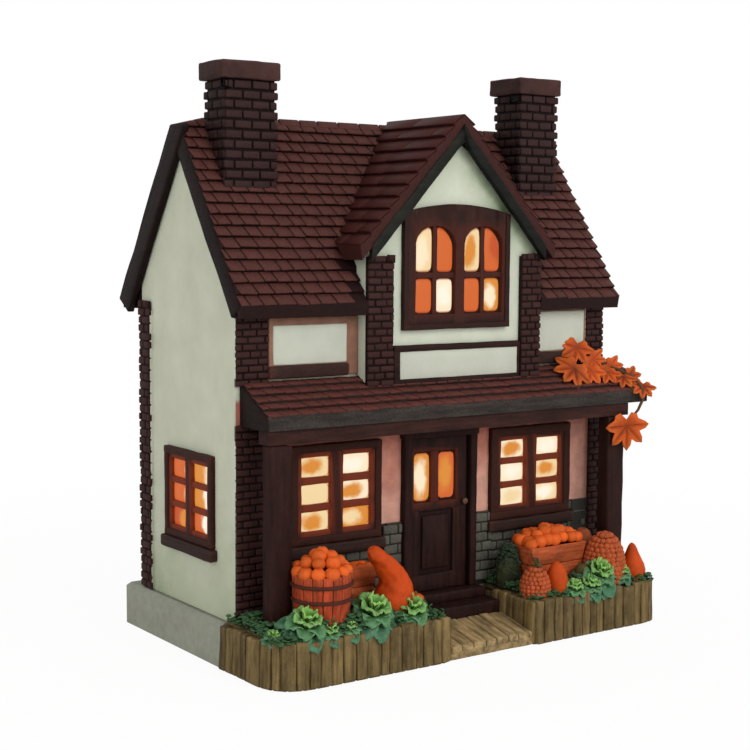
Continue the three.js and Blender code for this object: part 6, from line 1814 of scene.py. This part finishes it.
TOWARDS = (-0.45, -0.80, 0.40)
LEAVES = (  # centre, tip, size and bend
    ((73.2, -30.2, 119.4), (70.0, -31.6, 112.8), 8.2, 0.2),
    ((66.6, -36.0, 110.6), (58.4, -38.6, 105.4), 10.0, -0.2),
    ((75.6, -36.8, 109.4), (72.0, -39.6, 103.6), 7.4, 0.2),
    ((80.4, -32.6, 114.0), (84.6, -34.8, 109.4), 6.6, 0.2),
    ((84.4, -38.0, 108.4), (80.4, -41.4, 104.4), 6.8, 0.25),
    ((89.4, -34.6, 110.4), (93.6, -37.6, 107.0), 6.4, 0.2),
    ((91.6, -41.0, 106.0), (88.0, -44.4, 102.6), 6.4, 0.2),
    ((96.4, -40.0, 106.4), (100.4, -42.6, 103.4), 6.2, -0.2),
    ((98.6, -46.4, 102.0), (95.6, -49.4, 97.6), 6.2, 0.2),
)
bm = new_mesh()
rng = random.Random(101)
for centre, tip, size, bend in LEAVES:
    maple_leaf(bm, centre, tip, TOWARDS, size, bend, rng.uniform(-0.2, 0.3))
maple_leaf(bm, (87.4, -47.2, 85.6), (88.0, -47.6, 74.4), (-0.3, -1, 0.1), 10.8, 0.15, 0.1)
bmesh.ops.recalc_face_normals(bm, faces=bm.faces[:])
bmesh.ops.solidify(bm, geom=bm.faces[:], thickness=0.7 * MM)
round_edges(bm, 0.15 * MM, 1, 0.9)
finished("maple_leaves", bm, [maple], stands_for=["maple_vine"])
TWIG = (  # x, y, z and radius in mm
    (73, -28.8, 118, 0.75), (80, -30.5, 114.5, 0.8), (87, -33.5, 111.5, 0.85), (93, -38, 108.8, 0.85),
    (96.5, -43.5, 105.4, 0.85), (97.6, -47.6, 101.0, 0.8), (97.0, -48.2, 96.5, 0.7), (94.6, -47.8, 92.0, 0.6),
    (89.4, -47.4, 87.4, 0.45),
)
bm = new_mesh()
tapered(bm, [(x, y, z) for x, y, z, _ in TWIG], [radius for _, _, _, radius in TWIG], 8)
finished("maple_twig", bm, [twig_brown], stands_for=["maple_vine"])

# %% [markdown]
# ## Inside and underside
#
# What lies inside the house isn't seen in the photograph. Each node there still gets the finish of what it
# is: frosted sheets behind the windows, a lamp board with two warm lamps, plastic below, and metal contacts.

# %% Finishes of the inner parts
def lit(name, scale, detail, dark, pale, strength, roughness):
    """A glass or sheet that glows in two mottled colours."""
    made, tree, shader = new_material(name)
    shown = blend_color(tree, cloud(tree, object_place(tree), scale, detail, 0.5), rgba(*dark), rgba(*pale))
    tree.links.new(shown, shader.inputs["Emission Color"])
    tree.links.new(shown, shader.inputs["Base Color"])
    shader.inputs["Emission Strength"].default_value = strength
    shader.inputs["Roughness"].default_value = roughness
    return made


frosted = lit("frosted_sheet", 60.0, 2.0, (0.55, 0.22, 0.05), (0.85, 0.55, 0.22), 0.8, 0.6)
lamp_glass = lit("warm_lamp", 300.0, 1.0, (0.9, 0.5, 0.15), (1.0, 0.8, 0.45), 1.0, 0.5)
black_plastic = painted("black_plastic", (0.020, 0.020, 0.021), (0.010, 0.010, 0.011),
                        (0.035, 0.035, 0.037), 0.3, 500, (0.45, 0.6), 0.15)
door_plastic = painted("door_plastic", (0.026, 0.026, 0.027), (0.014, 0.014, 0.015), (0.045, 0.045, 0.047),
                       0.3, 500, (0.45, 0.6), 0.15)
jacket_grey = painted("cell_jacket", (0.10, 0.11, 0.12), (0.05, 0.055, 0.06), (0.16, 0.17, 0.18), 0.3, 300,
                      (0.3, 0.45), 0.1)
board_green = painted("lamp_board", (0.020, 0.090, 0.035), (0.012, 0.05, 0.02), (0.03, 0.13, 0.05), 0.3,
                      300, (0.4, 0.5), 0.1)
lead_red = painted("lamp_lead_sleeve", (0.35, 0.02, 0.015), (0.2, 0.01, 0.008), (0.5, 0.05, 0.03), 0.3, 300,
                   (0.4, 0.5), 0.1)
nickel = painted("nickel_spring", (0.62, 0.60, 0.56), (0.35, 0.34, 0.32), (0.78, 0.76, 0.72), 0.4, 600,
                 (0.22, 0.4), 0.1)
nickel.node_tree.nodes["Principled BSDF"].inputs["Metallic"].default_value = 1.0
for finish, nodes in (
    (frosted, ("glow_sheet_front", "glow_sheet_gable", "glow_sheet_left", "glow_sheet_right")),
    (lamp_glass, ("lamp_left", "lamp_right")),
    (board_green, ("light_board",)),
    (lead_red, ("lamp_lead",)),
    (black_plastic, ("base_plate", "battery_box", "switch_body")),
    (door_plastic, ("battery_door", "switch_slider")),
    (jacket_grey, ("battery_cell_1", "battery_cell_2")),
    (nickel, ("contact_negative", "contact_positive", "contact_bridge")),
):
    for node in nodes:
        dress(node, finish)
